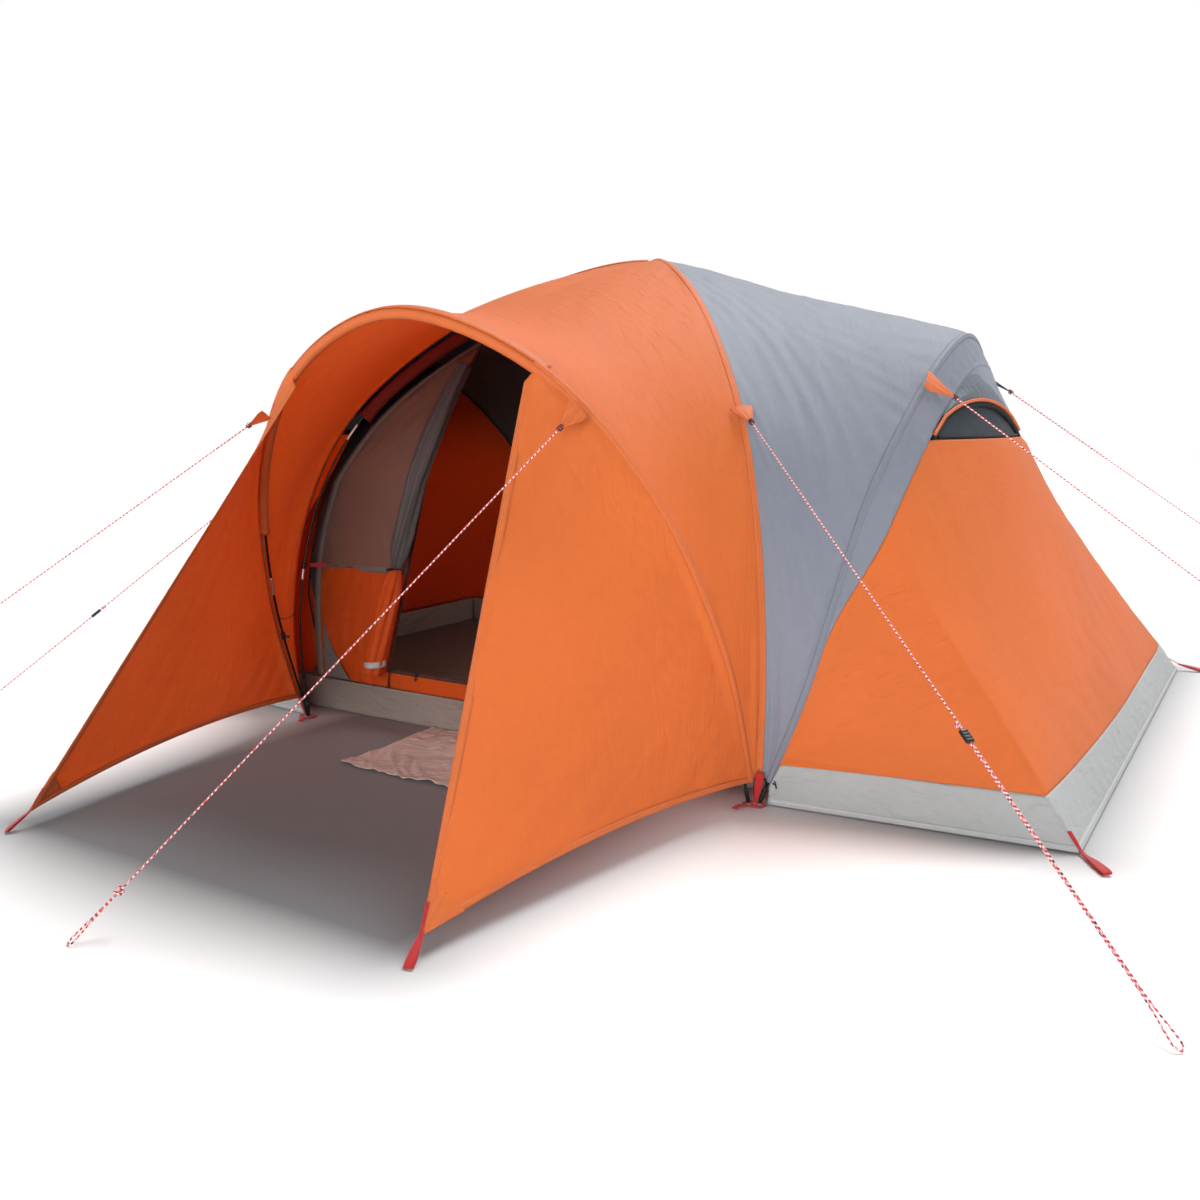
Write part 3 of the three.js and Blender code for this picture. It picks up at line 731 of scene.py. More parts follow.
def from_edges(points, first=0.05, last=0.05):
    """0 on the first and last columns of a grid and 1 beyond those distances from them."""
    reach = run(points, 1)
    return smooth((reach - reach[:, :1]) / first) * smooth((reach[:, -1:] - reach) / last)


# ---- Strips of cloth ----
def strip(name, rows, material, thickness=0.0012, centre=HUB, **rest):
    """A narrow band of cloth from rows of points across it."""
    return body(name, shell(np.asarray(rows), thickness, centre), material, **rest)


def outward(direction, edge, centre):
    return direction * np.sign(np.sum(direction * (edge - centre), -1))[..., None]


# Sections as shares of a half width and of a crest or a lift
SEAM_HALF = ((0.15, 0.95), (0.4, 0.55), (0.72, 0.15), (1, 0))
SEAM_SECTION = (*((-share, rise) for share, rise in reversed(SEAM_HALF)), (0, 1), *SEAM_HALF)
HEM_UPPER = ((1, 1), (0.6, 1.7), (0.25, 1.5), (0.02, 1))
HEM_SECTION = (*HEM_UPPER, (-0.06, 0), *((share, -rise) for share, rise in reversed(HEM_UPPER)))


def seam_band(name, edge, toward_a, toward_b, half_width, crest, material, lift=0.0016, centre=HUB):
    """A taped seam that lies on the two cloths it joins and stands up over what is under it."""
    along = unit(np.gradient(edge, axis=0))
    sides = []
    for toward in (toward_a, toward_b):
        direction = unit(toward - edge)
        sides.append((direction, outward(unit(np.cross(along, direction)), edge, centre)))
    (dir_a, out_a), (dir_b, out_b) = sides
    rows = []
    for share, rise in SEAM_SECTION:
        direction, out = (dir_a, out_a) if share < 0 else (dir_b, out_b)
        if abs(share) < 0.2:
            out = unit(out_a + out_b)
        rows.append(edge + direction * abs(share) * half_width + out * (lift + crest * rise))
    return strip(name, np.stack(rows, 1), material, centre=centre)


def hem_band(name, points, column_at, width, material, centre=HUB, lift=0.0014):
    """A folded hem round one edge of a grid of cloth points: its first (0) or last (-1) column."""
    edge = points[:, column_at]
    inward = unit(points[:, 1 if column_at == 0 else -2] - edge)
    out = outward(unit(np.cross(unit(np.gradient(edge, axis=0)), inward)), edge, centre)
    rows = [edge + inward * share * width + out * lift * rise for share, rise in HEM_SECTION]
    return strip(name, np.stack(rows, 1), material, thickness=0.0008, centre=centre)


# ---- Poles ----
def height_share(curve, z, high=0.5):
    """The share of a curve's length at which its first half reaches a height."""
    s = np.linspace(0, high, 400)
    return float(np.interp(z, curve(s)[:, 2], s))


def make_pole(name, curve, node, turned=False):
    side = MIRROR if turned else 1
    tube(name, curve(np.linspace(0, 1, 260)) * side, POLE_D / 2, POLE, sides=16, stands_for=(node,))
    section = 0.59 / curve.length
    half = 0.0375 / curve.length
    radius = np.full(12, POLE_D / 2 + 0.0011)
    radius[[0, -1]] -= 0.0007
    parts = []
    for middle in (section, 2 * section, 3 * section, 1 - 3 * section, 1 - 2 * section, 1 - section):
        parts.append(tube_mesh(curve(np.linspace(middle - half, middle + half, 12)) * side, radius, 16))
    body(f"{name}_ferrules", join_meshes(parts), METAL)
    reach = 0.055 / curve.length
    radius = POLE_D / 2 + np.array([0.0002, 0.0011, 0.0018, 0.002, 0.002, 0.002, 0.0018, 0.0014, 0.0004])
    tips = [tube_mesh(curve(np.linspace(low, low + reach, 9)) * side, radius, 16) for low in (0, 1 - reach)]
    body(f"{name}_tips", join_meshes(tips), HARD)


def make_sleeve(name, curve, low, high, material, seed, turned=False, deep=0.025, drop=0.006):
    """The cloth sleeve round a pole, gathered a little along it."""
    wide = 0.015
    s = np.linspace(low, high, int(260 * (high - low) * curve.length / 4) + 30)
    path = curve(s) * (MIRROR if turned else 1)
    side = frames(path)[1]
    sides = 18
    turn = np.linspace(0, 2 * math.pi, sides, endpoint=False)
    length = s * curve.length
    x, y = np.meshgrid(length, turn, indexing="ij")
    gathers = 1 + 0.07 * folds(x, y * 0.03, 0.035, seed)
    ends = 1 + 0.15 * sum(np.exp(-(((x - end) / 0.02) ** 2)) for end in (length[0], length[-1]))
    radial = (np.abs(np.cos(turn)) * (deep - wide) + wide)[None] * gathers * ends
    return tube(name, path - side * drop, radial, material, sides)


SLEEVE_END = 0.488  # the main poles' sleeves stop short of the crossing, at this share


def make_poles():
    make_pole("pole_main_a", pole_left, "pole_main_left")
    make_pole("pole_main_b", pole_right, "pole_main_right")
    make_pole("pole_porch_arch", pole_porch, "pole_porch")
    make_pole("pole_cabin_a", pole_cabin, "pole_cabin_right")
    make_pole("pole_cabin_b", pole_cabin, "pole_cabin_left", turned=True)
    low = height_share(pole_left, 1.2)
    for name, curve, seed in (("a", pole_left, 11), ("b", pole_right, 12)):
        make_sleeve(f"sleeve_main_{name}", curve, low, SLEEVE_END, RED_SLEEVE, seed)
    for name, curve, seed in (("c", pole_left, 13), ("d", pole_right, 14)):
        make_sleeve(f"sleeve_main_{name}", curve, 1 - SLEEVE_END, 1 - low, RED_SLEEVE, seed,
                    deep=0.016, drop=0.002)
    start = height_share(pole_porch, 0.78)
    make_sleeve("sleeve_porch", pole_porch, start, 1 - start, ORANGE_SEAM, 15,
                deep=0.017, drop=0.002)
    start = height_share(pole_cabin, 0.3)
    for side in ("right", "left"):
        make_sleeve(f"sleeve_cabin_{side}", pole_cabin, start, 1 - start, GREY_SEAM, 16,
                    turned=side == "left", deep=0.016, drop=0.001)


# ---- Fly ----
FRONT_U = np.linspace(FOOT_S, 1 - FOOT_S, 190)
ROOF_DIP = 0.07  # the roof dips by this behind the porch arch


def both_sides(edge, half):
    """The front halves (np.minimum) or rear halves (np.maximum) of an edge, from left to right."""

    def at(s):
        s = np.asarray(s, float)
        return edge(half(s, 1 - s)) * np.where(column(s) < 0.5, MIRROR, 1)

    return at


front_ridge = both_sides(fly_ridge, np.minimum)
rear_ridge = both_sides(fly_ridge, np.maximum)


def make_roof():
    u, v = mesh_grid(FRONT_U, np.linspace(0, 1, 90))
    points = between(front_ridge, porch_seam)(u, v)
    points[..., 2] -= ROOF_DIP * np.sin(math.pi * v**2) * np.sin(math.pi * u)
    x, y = lengths(points)
    near_ridge = np.exp(-3.5 * v)
    relief = 0.0022 * folds(x, y, 0.26, 21) * (0.15 + near_ridge)
    relief += 0.0006 * folds(x, y, 0.08, 22) * near_ridge
    relief += 0.007 * lumps(x, y, 0.9, 23)
    relief *= from_edges(points, 0.07, 0.06)
    cloth("roof_front", points, ORANGE, relief=relief, stands_for=("fly_front",))
    u, v = mesh_grid(np.linspace(0.012, 0.988, 190), np.linspace(0, 1, 90))
    points = between(rear_ridge, rear_hem)(u, v)
    x, y = lengths(points)
    relief = 0.006 * folds(x, y, 0.17, 24) + 0.002 * folds(x, y, 0.06, 25) + 0.006 * lumps(x, y, 0.6, 26)
    relief *= from_edges(points, 0.07, 0.1)
    cloth("roof_rear", points, ORANGE, relief=relief, stands_for=("fly_rear",))
    hem_band("roof_rear_hem", points, -1, 0.03, ORANGE_SEAM)


def make_sides():
    for side, turn, more in SIDES:
        seed = 31 + more
        u, v = mesh_grid(np.linspace(FOOT_S, 0.99, 220), np.linspace(0, 1, 80))
        points = between(fly_ridge, fly_arch)(u, v)
        x, y = lengths(points)
        near_arch = np.exp(-4 * (1 - v))
        relief = 0.003 * folds(x, y, 0.24, seed) * (0.1 + near_arch)
        relief += 0.001 * folds(x, y, 0.05, seed + 1) * near_arch
        relief += 0.0035 * folds(y + 0.5 * x, x, 0.34, seed + 2) * (1 - near_arch)
        relief += 0.009 * lumps(x, y, 0.9, seed + 3)
        relief *= from_edges(points, 0.06, 0.04)
        cloth(f"side_grey_{side}", points * turn, GREY, relief=relief,
              stands_for=(f"fly_side_{side}",))


# Down a cabin's wall the grey cloth laps over the arch, then comes the orange, then the skirt.
END_S = np.linspace(0.022, 0.988, 230)


def wall_line(s, share):
    return lerp(fly_arch(s), side_hem(s), column(share))


def level_share(s, z):
    top, foot = fly_arch(s)[..., 2], side_hem(s)[..., 2]
    return np.clip((top - z) / np.maximum(top - foot, 1e-6), 0, 1)


def lap_share(s):
    """Where the grey lap ends: it is widest at the top of the arch."""
    reach = np.linalg.norm(side_hem(s) - fly_arch(s), axis=-1)
    high = smooth((fly_arch(s)[..., 2] - 0.5) / 0.5)
    return np.minimum((0.016 + 0.105 * high) / reach, 0.3)


def skirt_share(s):
    return np.maximum(level_share(s, SKIRT_Z), lap_share(s) + 0.02)


def cloth_top(s):
    return np.maximum(lap_share(s), level_share(s, VENT_Z))


def vent_arc(s):
    """The lower edge of the hood: level with the cloth at its ends and raised in its middle."""
    middle = np.clip((s - VENT[0]) / (VENT[1] - VENT[0]), 0, 1)
    raised = VENT_Z + 0.012 + 0.12 * np.sin(math.pi * middle) ** 0.8
    return np.maximum(level_share(s, raised), lap_share(s))


def vent_hood(s):
    """The upper edge of the hood, which curves down to the vent's rear end."""
    middle = np.clip((s - VENT[0]) / (VENT[1] - VENT[0]), 0, 1)
    return lerp(lap_share(s), vent_arc(s), smooth((middle - 0.5) / 0.5))


def gusset_foot(s):
    return np.where(s < VENT[1], vent_arc(s), cloth_top(s) + 0.004)


def grey_range():
    """Where the orange cloth ends lower than the lap does."""
    s = np.linspace(0.2, 0.8, 600)
    wide = s[level_share(s, VENT_Z) > lap_share(s) + 0.004]
    return float(wide[0]), float(wide[-1])


GREY_END = grey_range()
VENT = (GREY_END[0], lerp(*GREY_END, 0.64))  # the vent ends first; plain grey cloth fills the rest
WALL_HUB = xyz(0.9, 1.2, 0.3)


def wall_grid(s_values, top, foot, columns):
    """Points down a cabin's wall, pulled out a little between the arch and its rear corner."""
    s, v = mesh_grid(s_values, np.linspace(0, 1, columns))
    share = lerp(top(s), foot(s), v)
    points = wall_line(s, share)
    pull = np.sin(math.pi * np.clip(share, 0, 1)) * np.exp(-(((s - 0.73) / 0.1) ** 2))
    return s, v, points + xyz(0.06, 0.03, 0) * column(pull)


def make_cabins():
    for side, turn, more in SIDES:
        seed = 51 + more
        hub = WALL_HUB * turn
        s, v, points = wall_grid(END_S, cloth_top, skirt_share, 90)
        x, y = lengths(points)
        relief = 0.0022 * folds(x, y, 0.22, seed) + 0.006 * lumps(x, y, 0.8, seed + 1)
        relief += 0.001 * folds(x, y, 0.04, seed + 2) * (np.exp(-6 * (1 - v)) + np.exp(-7 * v))
        relief *= from_edges(points, 0.04, 0.03)
        cloth(f"cabin_wall_{side}", points * turn, ORANGE, relief=relief, centre=hub,
              stands_for=(f"fly_end_{side}",))
        s, v, points = wall_grid(END_S, lambda s: np.zeros_like(s), lap_share, 14)
        x, y = lengths(points)
        relief = 0.004 * folds(x, y, 0.06, seed + 3) * (0.3 + v) + 0.0015 * folds(x, y, 0.025, seed + 4)
        relief *= from_edges(points, 0.02, 0.012)
        cloth(f"arch_lap_{side}", points * turn, GREY, relief=relief + 0.0015, centre=hub)
        s, v, points = wall_grid(END_S, skirt_share, lambda s: np.ones_like(s), 16)
        x, y = lengths(points)
        relief = 0.005 * folds(x, y, 0.09, seed + 5) + 0.0025 * folds(x, y, 0.035, seed + 6)
        relief *= np.sin(math.pi * v) ** 0.6
        cloth(f"mud_skirt_{side}", points * turn, SKIRT, relief=relief, centre=hub,
              stands_for=(f"skirt_{side}",))
        hem_band(f"mud_skirt_hem_{side}", points * turn, -1, 0.022, SKIRT_HEM, centre=hub)
        make_vent(side, turn, hub, seed + 7)
        gusset_s = np.linspace(lerp(*VENT, 0.5), GREY_END[1], 60)
        s, v, points = wall_grid(gusset_s, lambda s: lap_share(s) - 0.01, gusset_foot, 20)
        x, y = lengths(points)
        relief = 0.001 + 0.0015 * lumps(x, y, 0.15, seed + 8) * np.sin(math.pi * v)
        cloth(f"vent_gusset_{side}", points * turn, GREY, relief=relief, centre=hub)


def make_vent(side, turn, hub, seed):
    vent_s = np.linspace(VENT[0] + 0.004, VENT[1] - 0.004, 90)
    s, v, points = wall_grid(vent_s, vent_hood, vent_arc, 26)
    x, y = lengths(points)
    bulge = np.sin(math.pi * (s - VENT[0]) / (VENT[1] - VENT[0]))
    relief = 0.012 * bulge * smooth(v * 1.4) + 0.0025 * folds(x, y, 0.07, seed) * np.sin(math.pi * v)
    cloth(f"hood_cloth_{side}", points * turn, GREY_DARK, relief=relief + 0.002, centre=hub,
          stands_for=(f"vent_hood_{side}",))
    lower = points[:, -1] + xyz(0.007, 0, 0)
    lower[:, 0] += relief[:, -1]
    tube(f"hood_piping_{side}", lower * turn, 0.006, ORANGE_SEAM, sides=10)
    # A near-black tube just below the piping: painted shade under the hood's lip.
    tube(f"hood_painted_shade_{side}", (lower - xyz(0.006, 0, 0.014)) * turn, 0.008, VENT_EDGE_AND_SHADE, sides=8)
    s, v, points = wall_grid(vent_s, lambda s: np.maximum(vent_arc(s) - 0.03, lap_share(s)),
                             lambda s: np.maximum(level_share(s, VENT_Z - 0.01), vent_arc(s) - 0.01), 10)
    points[..., 0] -= 0.012
    cloth(f"vent_net_{side}", points * turn, BLACK_MESH, centre=hub, thickness=0.001,
          stands_for=(f"vent_mesh_{side}",))
    edge_s = vent_s[4:-4]
    edge = wall_line(edge_s, level_share(edge_s, VENT_Z + 0.006)) - xyz(0.008, 0, 0)
    tube(f"vent_edge_{side}", edge * turn, 0.006, VENT_EDGE_AND_SHADE, sides=8)


WING_TIP = xyz(0.759, -1.322, 0.05)
WING_EDGE = xyz(0.454, -0.47, 1.322)  # where the wing's front edge meets the arch
WING_BOW = {"right": xyz(-0.04, 0.055, 0), "left": xyz(0, 0, 0)}
WING_HUB = xyz(0, -0.9, 0.4)


def wing_line(t, side):
    return lerp(WING_TIP, WING_EDGE, column(t)) + WING_BOW[side] * column(6.75 * t * t * (1 - t))


def make_wings():
    for side, turn, more in SIDES:
        seed = 71 + more
        u, v = mesh_grid(np.linspace(0.0, 0.985, 150), np.linspace(0, 1, 90))
        arch_points = porch_seam(1 - (FOOT_S + u * (WING_TOP - FOOT_S)))
        points = lerp(arch_points, wing_line(u, side), column(v))
        points[..., 2] += 0.045 * 4 * v * (1 - v) * (1 - u) ** 3
        x, y = lengths(points)
        slant = x + 0.45 * y
        relief = 0.0035 * folds(slant, y, 0.3, seed) + 0.0013 * folds(slant, y, 0.08, seed + 1)
        relief += 0.009 * lumps(x, y, 0.8, seed + 2)
        relief += 0.003 * folds(slant, y, 0.06, seed + 3) * np.exp(-6 * u - 4 * (1 - v))
        relief *= from_edges(points, 0.05, 0.04) * smooth(u / 0.03)
        cloth(f"wing_cloth_{side}", points * turn, ORANGE, relief=relief,
              centre=WING_HUB, stands_for=(f"wing_{side}",))
        hem_band(f"wing_hem_{side}", points * turn, -1, 0.026, ORANGE_SEAM, centre=WING_HUB)
        across = np.swapaxes(points, 0, 1)
        hem_band(f"wing_foot_hem_{side}", across * turn, 0, 0.02, ORANGE_SEAM, centre=WING_HUB)
        make_tip_patch(side, turn, points)


def make_tip_patch(side, turn, points):
    """A doubled piece of cloth in the wing's lower front corner."""
    tip = points[0, -1]
    foot = points[0, 60] - tip
    front = points[16, -1] - tip
    t, w = mesh_grid(np.linspace(0.04, 1, 20), np.linspace(0, 1, 20))
    patch = tip + unit(foot) * column(0.13 * t * (1 - w)) + unit(front) * column(0.13 * t * w)
    out = outward(unit(np.cross(foot, front))[None], tip[None], WING_HUB)[0]
    strip(f"wing_patch_{side}", (patch + out * 0.004) * turn, ORANGE_SEAM, centre=WING_HUB)


def make_seams():
    s = np.linspace(FOOT_S, 0.985, 260)
    front = np.linspace(FOOT_S, 0.497, 150)
    rear = np.linspace(0.503, 0.985, 150)
    for side, turn, _ in SIDES:
        hub = HUB * turn
        for end, part, beyond in (("front", front, porch_seam(1 - front)), ("rear", rear, rear_hem(rear))):
            seam_band(f"seam_ridge_{end}_{side}", fly_ridge(part) * turn, beyond * turn,
                      fly_arch(part) * turn, 0.02, 0.003, ORANGE_SEAM, centre=hub)
        seam_band(f"seam_cabin_{side}", fly_arch(s) * turn, fly_ridge(s) * turn, side_hem(s) * turn,
                  0.012, 0.003, GREY_SEAM, centre=hub, lift=0.0035)
        u = np.linspace(FOOT_S, WING_TOP, 150)
        line = wing_line(np.linspace(0, 1, 150), side)
        edge = porch_seam(1 - u)
        seam_band(f"seam_porch_{side}", edge * turn, front_ridge(1 - u) * turn, line * turn,
                  0.013, 0.003, ORANGE_SEAM, centre=xyz(0, -0.3, 0.3))
    u, v = mesh_grid(np.linspace(WING_TOP - 0.01, 1 - WING_TOP + 0.01, 90), np.linspace(0.9, 1, 6))
    points = between(front_ridge, porch_seam)(u, v)
    hem_band("porch_hem", points, -1, 0.035, ORANGE_SEAM, lift=0.002)


# ---- Inner tent ----
WALL_FOOT = TRAY_Z + 0.005


def within(edge):
    def at(s):
        point = edge(s)
        point[..., 1] = np.clip(point[..., 1], TRAY_Y[0] + 0.004, TRAY_Y[1] - 0.004)
        return point

    return at


inner_ridge = within(ridge(pole_left, -INNER))
inner_arch = within(lambda s: off(pole_cabin, s, -INNER, CABIN_HUB))


inner_hem = cornered(
    xyz(FOOT_X + 0.01, TRAY_Y[0] + 0.002, WALL_FOOT),
    xyz(TRAY_X - 0.002, TRAY_Y[0] + 0.002, WALL_FOOT),
    xyz(TRAY_X - 0.002, TRAY_Y[1] - 0.002, WALL_FOOT),
    xyz(FOOT_X + 0.01, TRAY_Y[1] - 0.002, WALL_FOOT),
)


def front_edge(s):
    """The door wall's outer edge: level with the pole at the top and a little outside it lower down."""
    point = inner_ridge(s) * MIRROR
    point[..., 0] -= 0.1 - 0.075 * smooth((point[..., 2] - 0.55) / 0.6)
    point[..., 1] -= 0.016
    return point


def front_share(z):
    s = np.linspace(0, 0.5, 500)
    return np.interp(z, front_edge(s)[:, 2], s)


LEAN_BACK = (front_edge(front_share(DOOR_TOP))[1] - TRAY_Y[0] + 0.004) / (DOOR_TOP - DOOR_FOOT)
LEAN_SHARE = 0.55  # the door's sides lie between the poles' curve and a plane


def door_x(z):
    return DOOR_LEAN * (z - DOOR_FOOT) - DOOR_X


def beside(s):
    """The door's side, which leans back from the sill to the top of the door."""
    point = front_edge(s)
    point[..., 0] = door_x(point[..., 2])
    plane = TRAY_Y[0] - 0.004 + LEAN_BACK * np.maximum(point[..., 2] - DOOR_FOOT, 0)
    point[..., 1] = lerp(point[..., 1], plane, LEAN_SHARE)
    return point


def roll_path(z):
    """The middle of the rolled door, at a height."""
    up = column((np.asarray(z, float) - DOOR_FOOT) / (DOOR_TOP - DOOR_FOOT))
    return beside(front_share(z)) + xyz(-0.02, -0.07, 0) * (1 - up) + xyz(0.03, -0.075, 0) * up


def inner_rear_foot(s):
    x = (FOOT_X - 0.015) * (2 * s - 1)
    return np.stack([x, np.full_like(s, TRAY_Y[1] - 0.002), np.full_like(s, WALL_FOOT)], -1)


def make_inner():
    for side, turn, more in SIDES:
        seed = 101 + more
        u, v = mesh_grid(np.linspace(0.06, 0.94, 90), np.linspace(0, 1, 40))
        points = between(inner_ridge, inner_arch)(u, v)
        points[..., 1] = np.maximum(points[..., 1], TRAY_Y[0] + 0.03)
        x, y = lengths(points)
        relief = 0.008 * folds(x, y, 0.2, seed) + 0.01 * lumps(x, y, 0.6, seed + 1)
        relief *= from_edges(points, 0.08, 0.05)
        cloth(f"inner_roof_{side}", points * turn, GREY_INNER, relief=-np.abs(relief),
              stands_for=(f"inner_side_{side}",))
        u, v = mesh_grid(np.linspace(0.06, 0.94, 110), np.linspace(0, 1, 40))
        points = between(inner_arch, inner_hem)(u, v)
        points[..., 1] = np.maximum(points[..., 1], TRAY_Y[0] + 0.03)
        x, y = lengths(points)
        relief = 0.006 * folds(x, y, 0.18, seed + 2) * from_edges(points, 0.05, 0.05)
        cloth(f"cabin_inner_{side}", points * turn, ORANGE_INNER, relief=-np.abs(relief),
              centre=WALL_HUB * turn, stands_for=(f"inner_end_{side}",))
        seam = inner_arch(np.linspace(0.07, 0.93, 120)) * turn - xyz(0, 0, 0.004)
        tube(f"inner_seam_{side}", seam, 0.004, BLACK_WEB, sides=8, slot="inner_dark")
    u, v = mesh_grid(np.linspace(0.06, 0.94, 110), np.linspace(0, 1, 50))
    points = between(both_sides(inner_ridge, np.maximum), inner_rear_foot)(u, v)
    x, y = lengths(points)
    relief = 0.008 * folds(x, y, 0.22, 121) + 0.01 * lumps(x, y, 0.6, 122)
    relief *= from_edges(points, 0.06, 0.05)
    cloth("inner_back", points, ORANGE_INNER, relief=-np.abs(relief),
          stands_for=("inner_rear",))
    make_floor()
    make_front_wall()


def make_floor():
    depth = TRAY_Y[1] - TRAY_Y[0]
    middle_y = sum(TRAY_Y) / 2
    u, v = mesh_grid(np.linspace(-TRAY_X, TRAY_X, 130), np.linspace(TRAY_Y[0], TRAY_Y[1], 80))
    points = np.stack([u, v, np.full_like(u, 0.0022)], -1)
    rise = np.abs(0.005 * folds(u, v, 0.3, 131)) + np.abs(0.004 * folds(v, u, 0.24, 132))
    edge = smooth((TRAY_X - np.abs(u)) / 0.05) * smooth((depth / 2 - np.abs(v - middle_y)) / 0.05)
    points[..., 2] += rise * edge
    cloth("floor_cloth", points, FLOOR, thickness=0.0012, centre=xyz(0, 1, -5),
          stands_for=("inner_floor",))
    corners = [(-TRAY_X, TRAY_Y[0]), (TRAY_X, TRAY_Y[0]), (TRAY_X, TRAY_Y[1]), (-TRAY_X, TRAY_Y[1])]
    for k, name in enumerate(("front", "right", "rear", "left")):
        (x0, y0), (x1, y1) = corners[k], corners[(k + 1) % 4]
        length = math.hypot(x1 - x0, y1 - y0)
        u, v = mesh_grid(np.linspace(0, 1, int(length * 60)), np.linspace(0, 1, 12))
        points = np.stack([x0 + (x1 - x0) * u, y0 + (y1 - y0) * u, 0.002 + (TRAY_Z - 0.001) * v], -1)
        along = u * length
        relief = 0.011 * folds(along + 0.4 * v, v * TRAY_Z, 0.21, 140 + k) * np.sin(math.pi * v) ** 0.7
        relief += 0.003 * folds(along, v * TRAY_Z, 0.05, 150 + k) * np.sin(math.pi * v)
        ends = smooth(along / 0.05) * smooth((length - along) / 0.05)
        cloth(f"floor_side_{name}", points, TUB, relief=-np.abs(relief) * ends,
              centre=xyz(0, 1.1, 0.1))


BEHIND = xyz(0, 1.5, 0.5)
FAR_BEHIND = xyz(0, 3, 0.5)


def band(name, edge, rows, material, centre, turn=1):
    """A narrow inner band along an edge, from the places of its rows beside it."""
    points = np.stack([edge + xyz(*row) for row in rows], 1)
    strip(name, points * turn, material, centre=centre, slot="inner_dark")


def make_front_wall():
    split = 0.6
    for side, turn, more in DOOR_SIDES:
        seed = 161 + more
        for part, low, high, material in (
            ("panel", WALL_FOOT + 0.004, split, ORANGE_INNER),
            ("net", split, DOOR_TOP, BROWN_MESH),
        ):
            s, v = mesh_grid(front_share(np.linspace(low, high, 60)), np.linspace(0, 1, 30))
            points = between(front_edge, beside)(s, v)
            x, y = lengths(points)
            relief = 0.006 * folds(y, x, 0.12, seed) + 0.006 * lumps(x, y, 0.3, seed + 1)
            relief *= from_edges(points, 0.03, 0.03)
            stands = (f"inner_wall_{side}",) if part == "panel" else ()
            cloth(f"front_{part}_{side}", points * turn, material, relief=relief, centre=BEHIND,
                  stands_for=stands)
        edge = beside(front_share(np.linspace(DOOR_FOOT, DOOR_TOP, 90)))
        rows = ((-0.008, -0.003, 0), (-0.003, -0.005, 0), (0.002, -0.004, 0), (0.006, 0, 0))
        band(f"door_zip_{side}", edge, rows, ZIP_TAPE, FAR_BEHIND, turn)
        edge = front_edge(front_share(np.linspace(WALL_FOOT + 0.01, DOOR_TOP, 90)))
        rows = ((-0.006, -0.003, 0), (0.01, -0.005, 0), (0.028, -0.003, 0))
        band(f"front_binding_{side}", edge, rows, BINDING, FAR_BEHIND, turn)
        s, v = mesh_grid([float(front_share(split))], np.linspace(0, 1, 30))
        edge = between(front_edge, beside)(s, v)[0]
        rows = [(0, -0.003, z) for z in (-0.012, 0, 0.012)]
        band(f"front_joint_{side}", edge, rows, BINDING, FAR_BEHIND, turn)
    s, v = mesh_grid(np.linspace(float(front_share(DOOR_TOP)) + 0.004, 0.47, 40), np.linspace(0, 1, 60))
    points = between(front_edge, lambda t: front_edge(t) * MIRROR)(s, v)
    x, y = lengths(points)
    relief = 0.008 * lumps(x, y, 0.4, 181) * from_edges(points, 0.05, 0.05)
    cloth("front_top_net", points, GREY_INNER, relief=relief, centre=BEHIND,
          stands_for=("inner_wall_top",))
    y = TRAY_Y[0] + 0.004
    edge = abs(door_x(DOOR_FOOT)) + 0.004
    u, v = mesh_grid(np.linspace(-edge, edge, 120), np.linspace(WALL_FOOT - 0.002, DOOR_FOOT, 10))
    points = np.stack([u, np.full_like(u, y), v], -1)
    relief = 0.003 * folds(u, v, 0.09, 191)
    relief *= np.sin(math.pi * (v - WALL_FOOT) / (DOOR_FOOT - WALL_FOOT)).clip(0)
    cloth("sill_cloth", points, ORANGE_INNER, relief=relief, centre=xyz(0, 2, 0.2),
          stands_for=("inner_sill",))
    line = np.stack([u[:, 0], np.full(len(u), y), np.full(len(u), DOOR_FOOT)], -1)
    rows = ((0, -0.002, -0.004), (0, -0.004, 0.001), (0, -0.003, 0.006), (0, -0.001, 0.01))
    band("sill_zip", line, rows, ZIP_TAPE, xyz(0, 2, 0.2))


ROLL_FOOT = 0.205
ROLL_TOP = 1.4
TIE_Z = 0.62  # the rolled door's tie, and where its grey cloth meets the orange


def circle(count, normal=2):
    """A closed ring of unit radius round the axis of that number."""
    turn = np.linspace(0, 2 * math.pi, count)
    ring = [np.cos(turn), np.sin(turn)]
    ring.insert(normal, np.zeros(count))
    return np.stack(ring, -1)


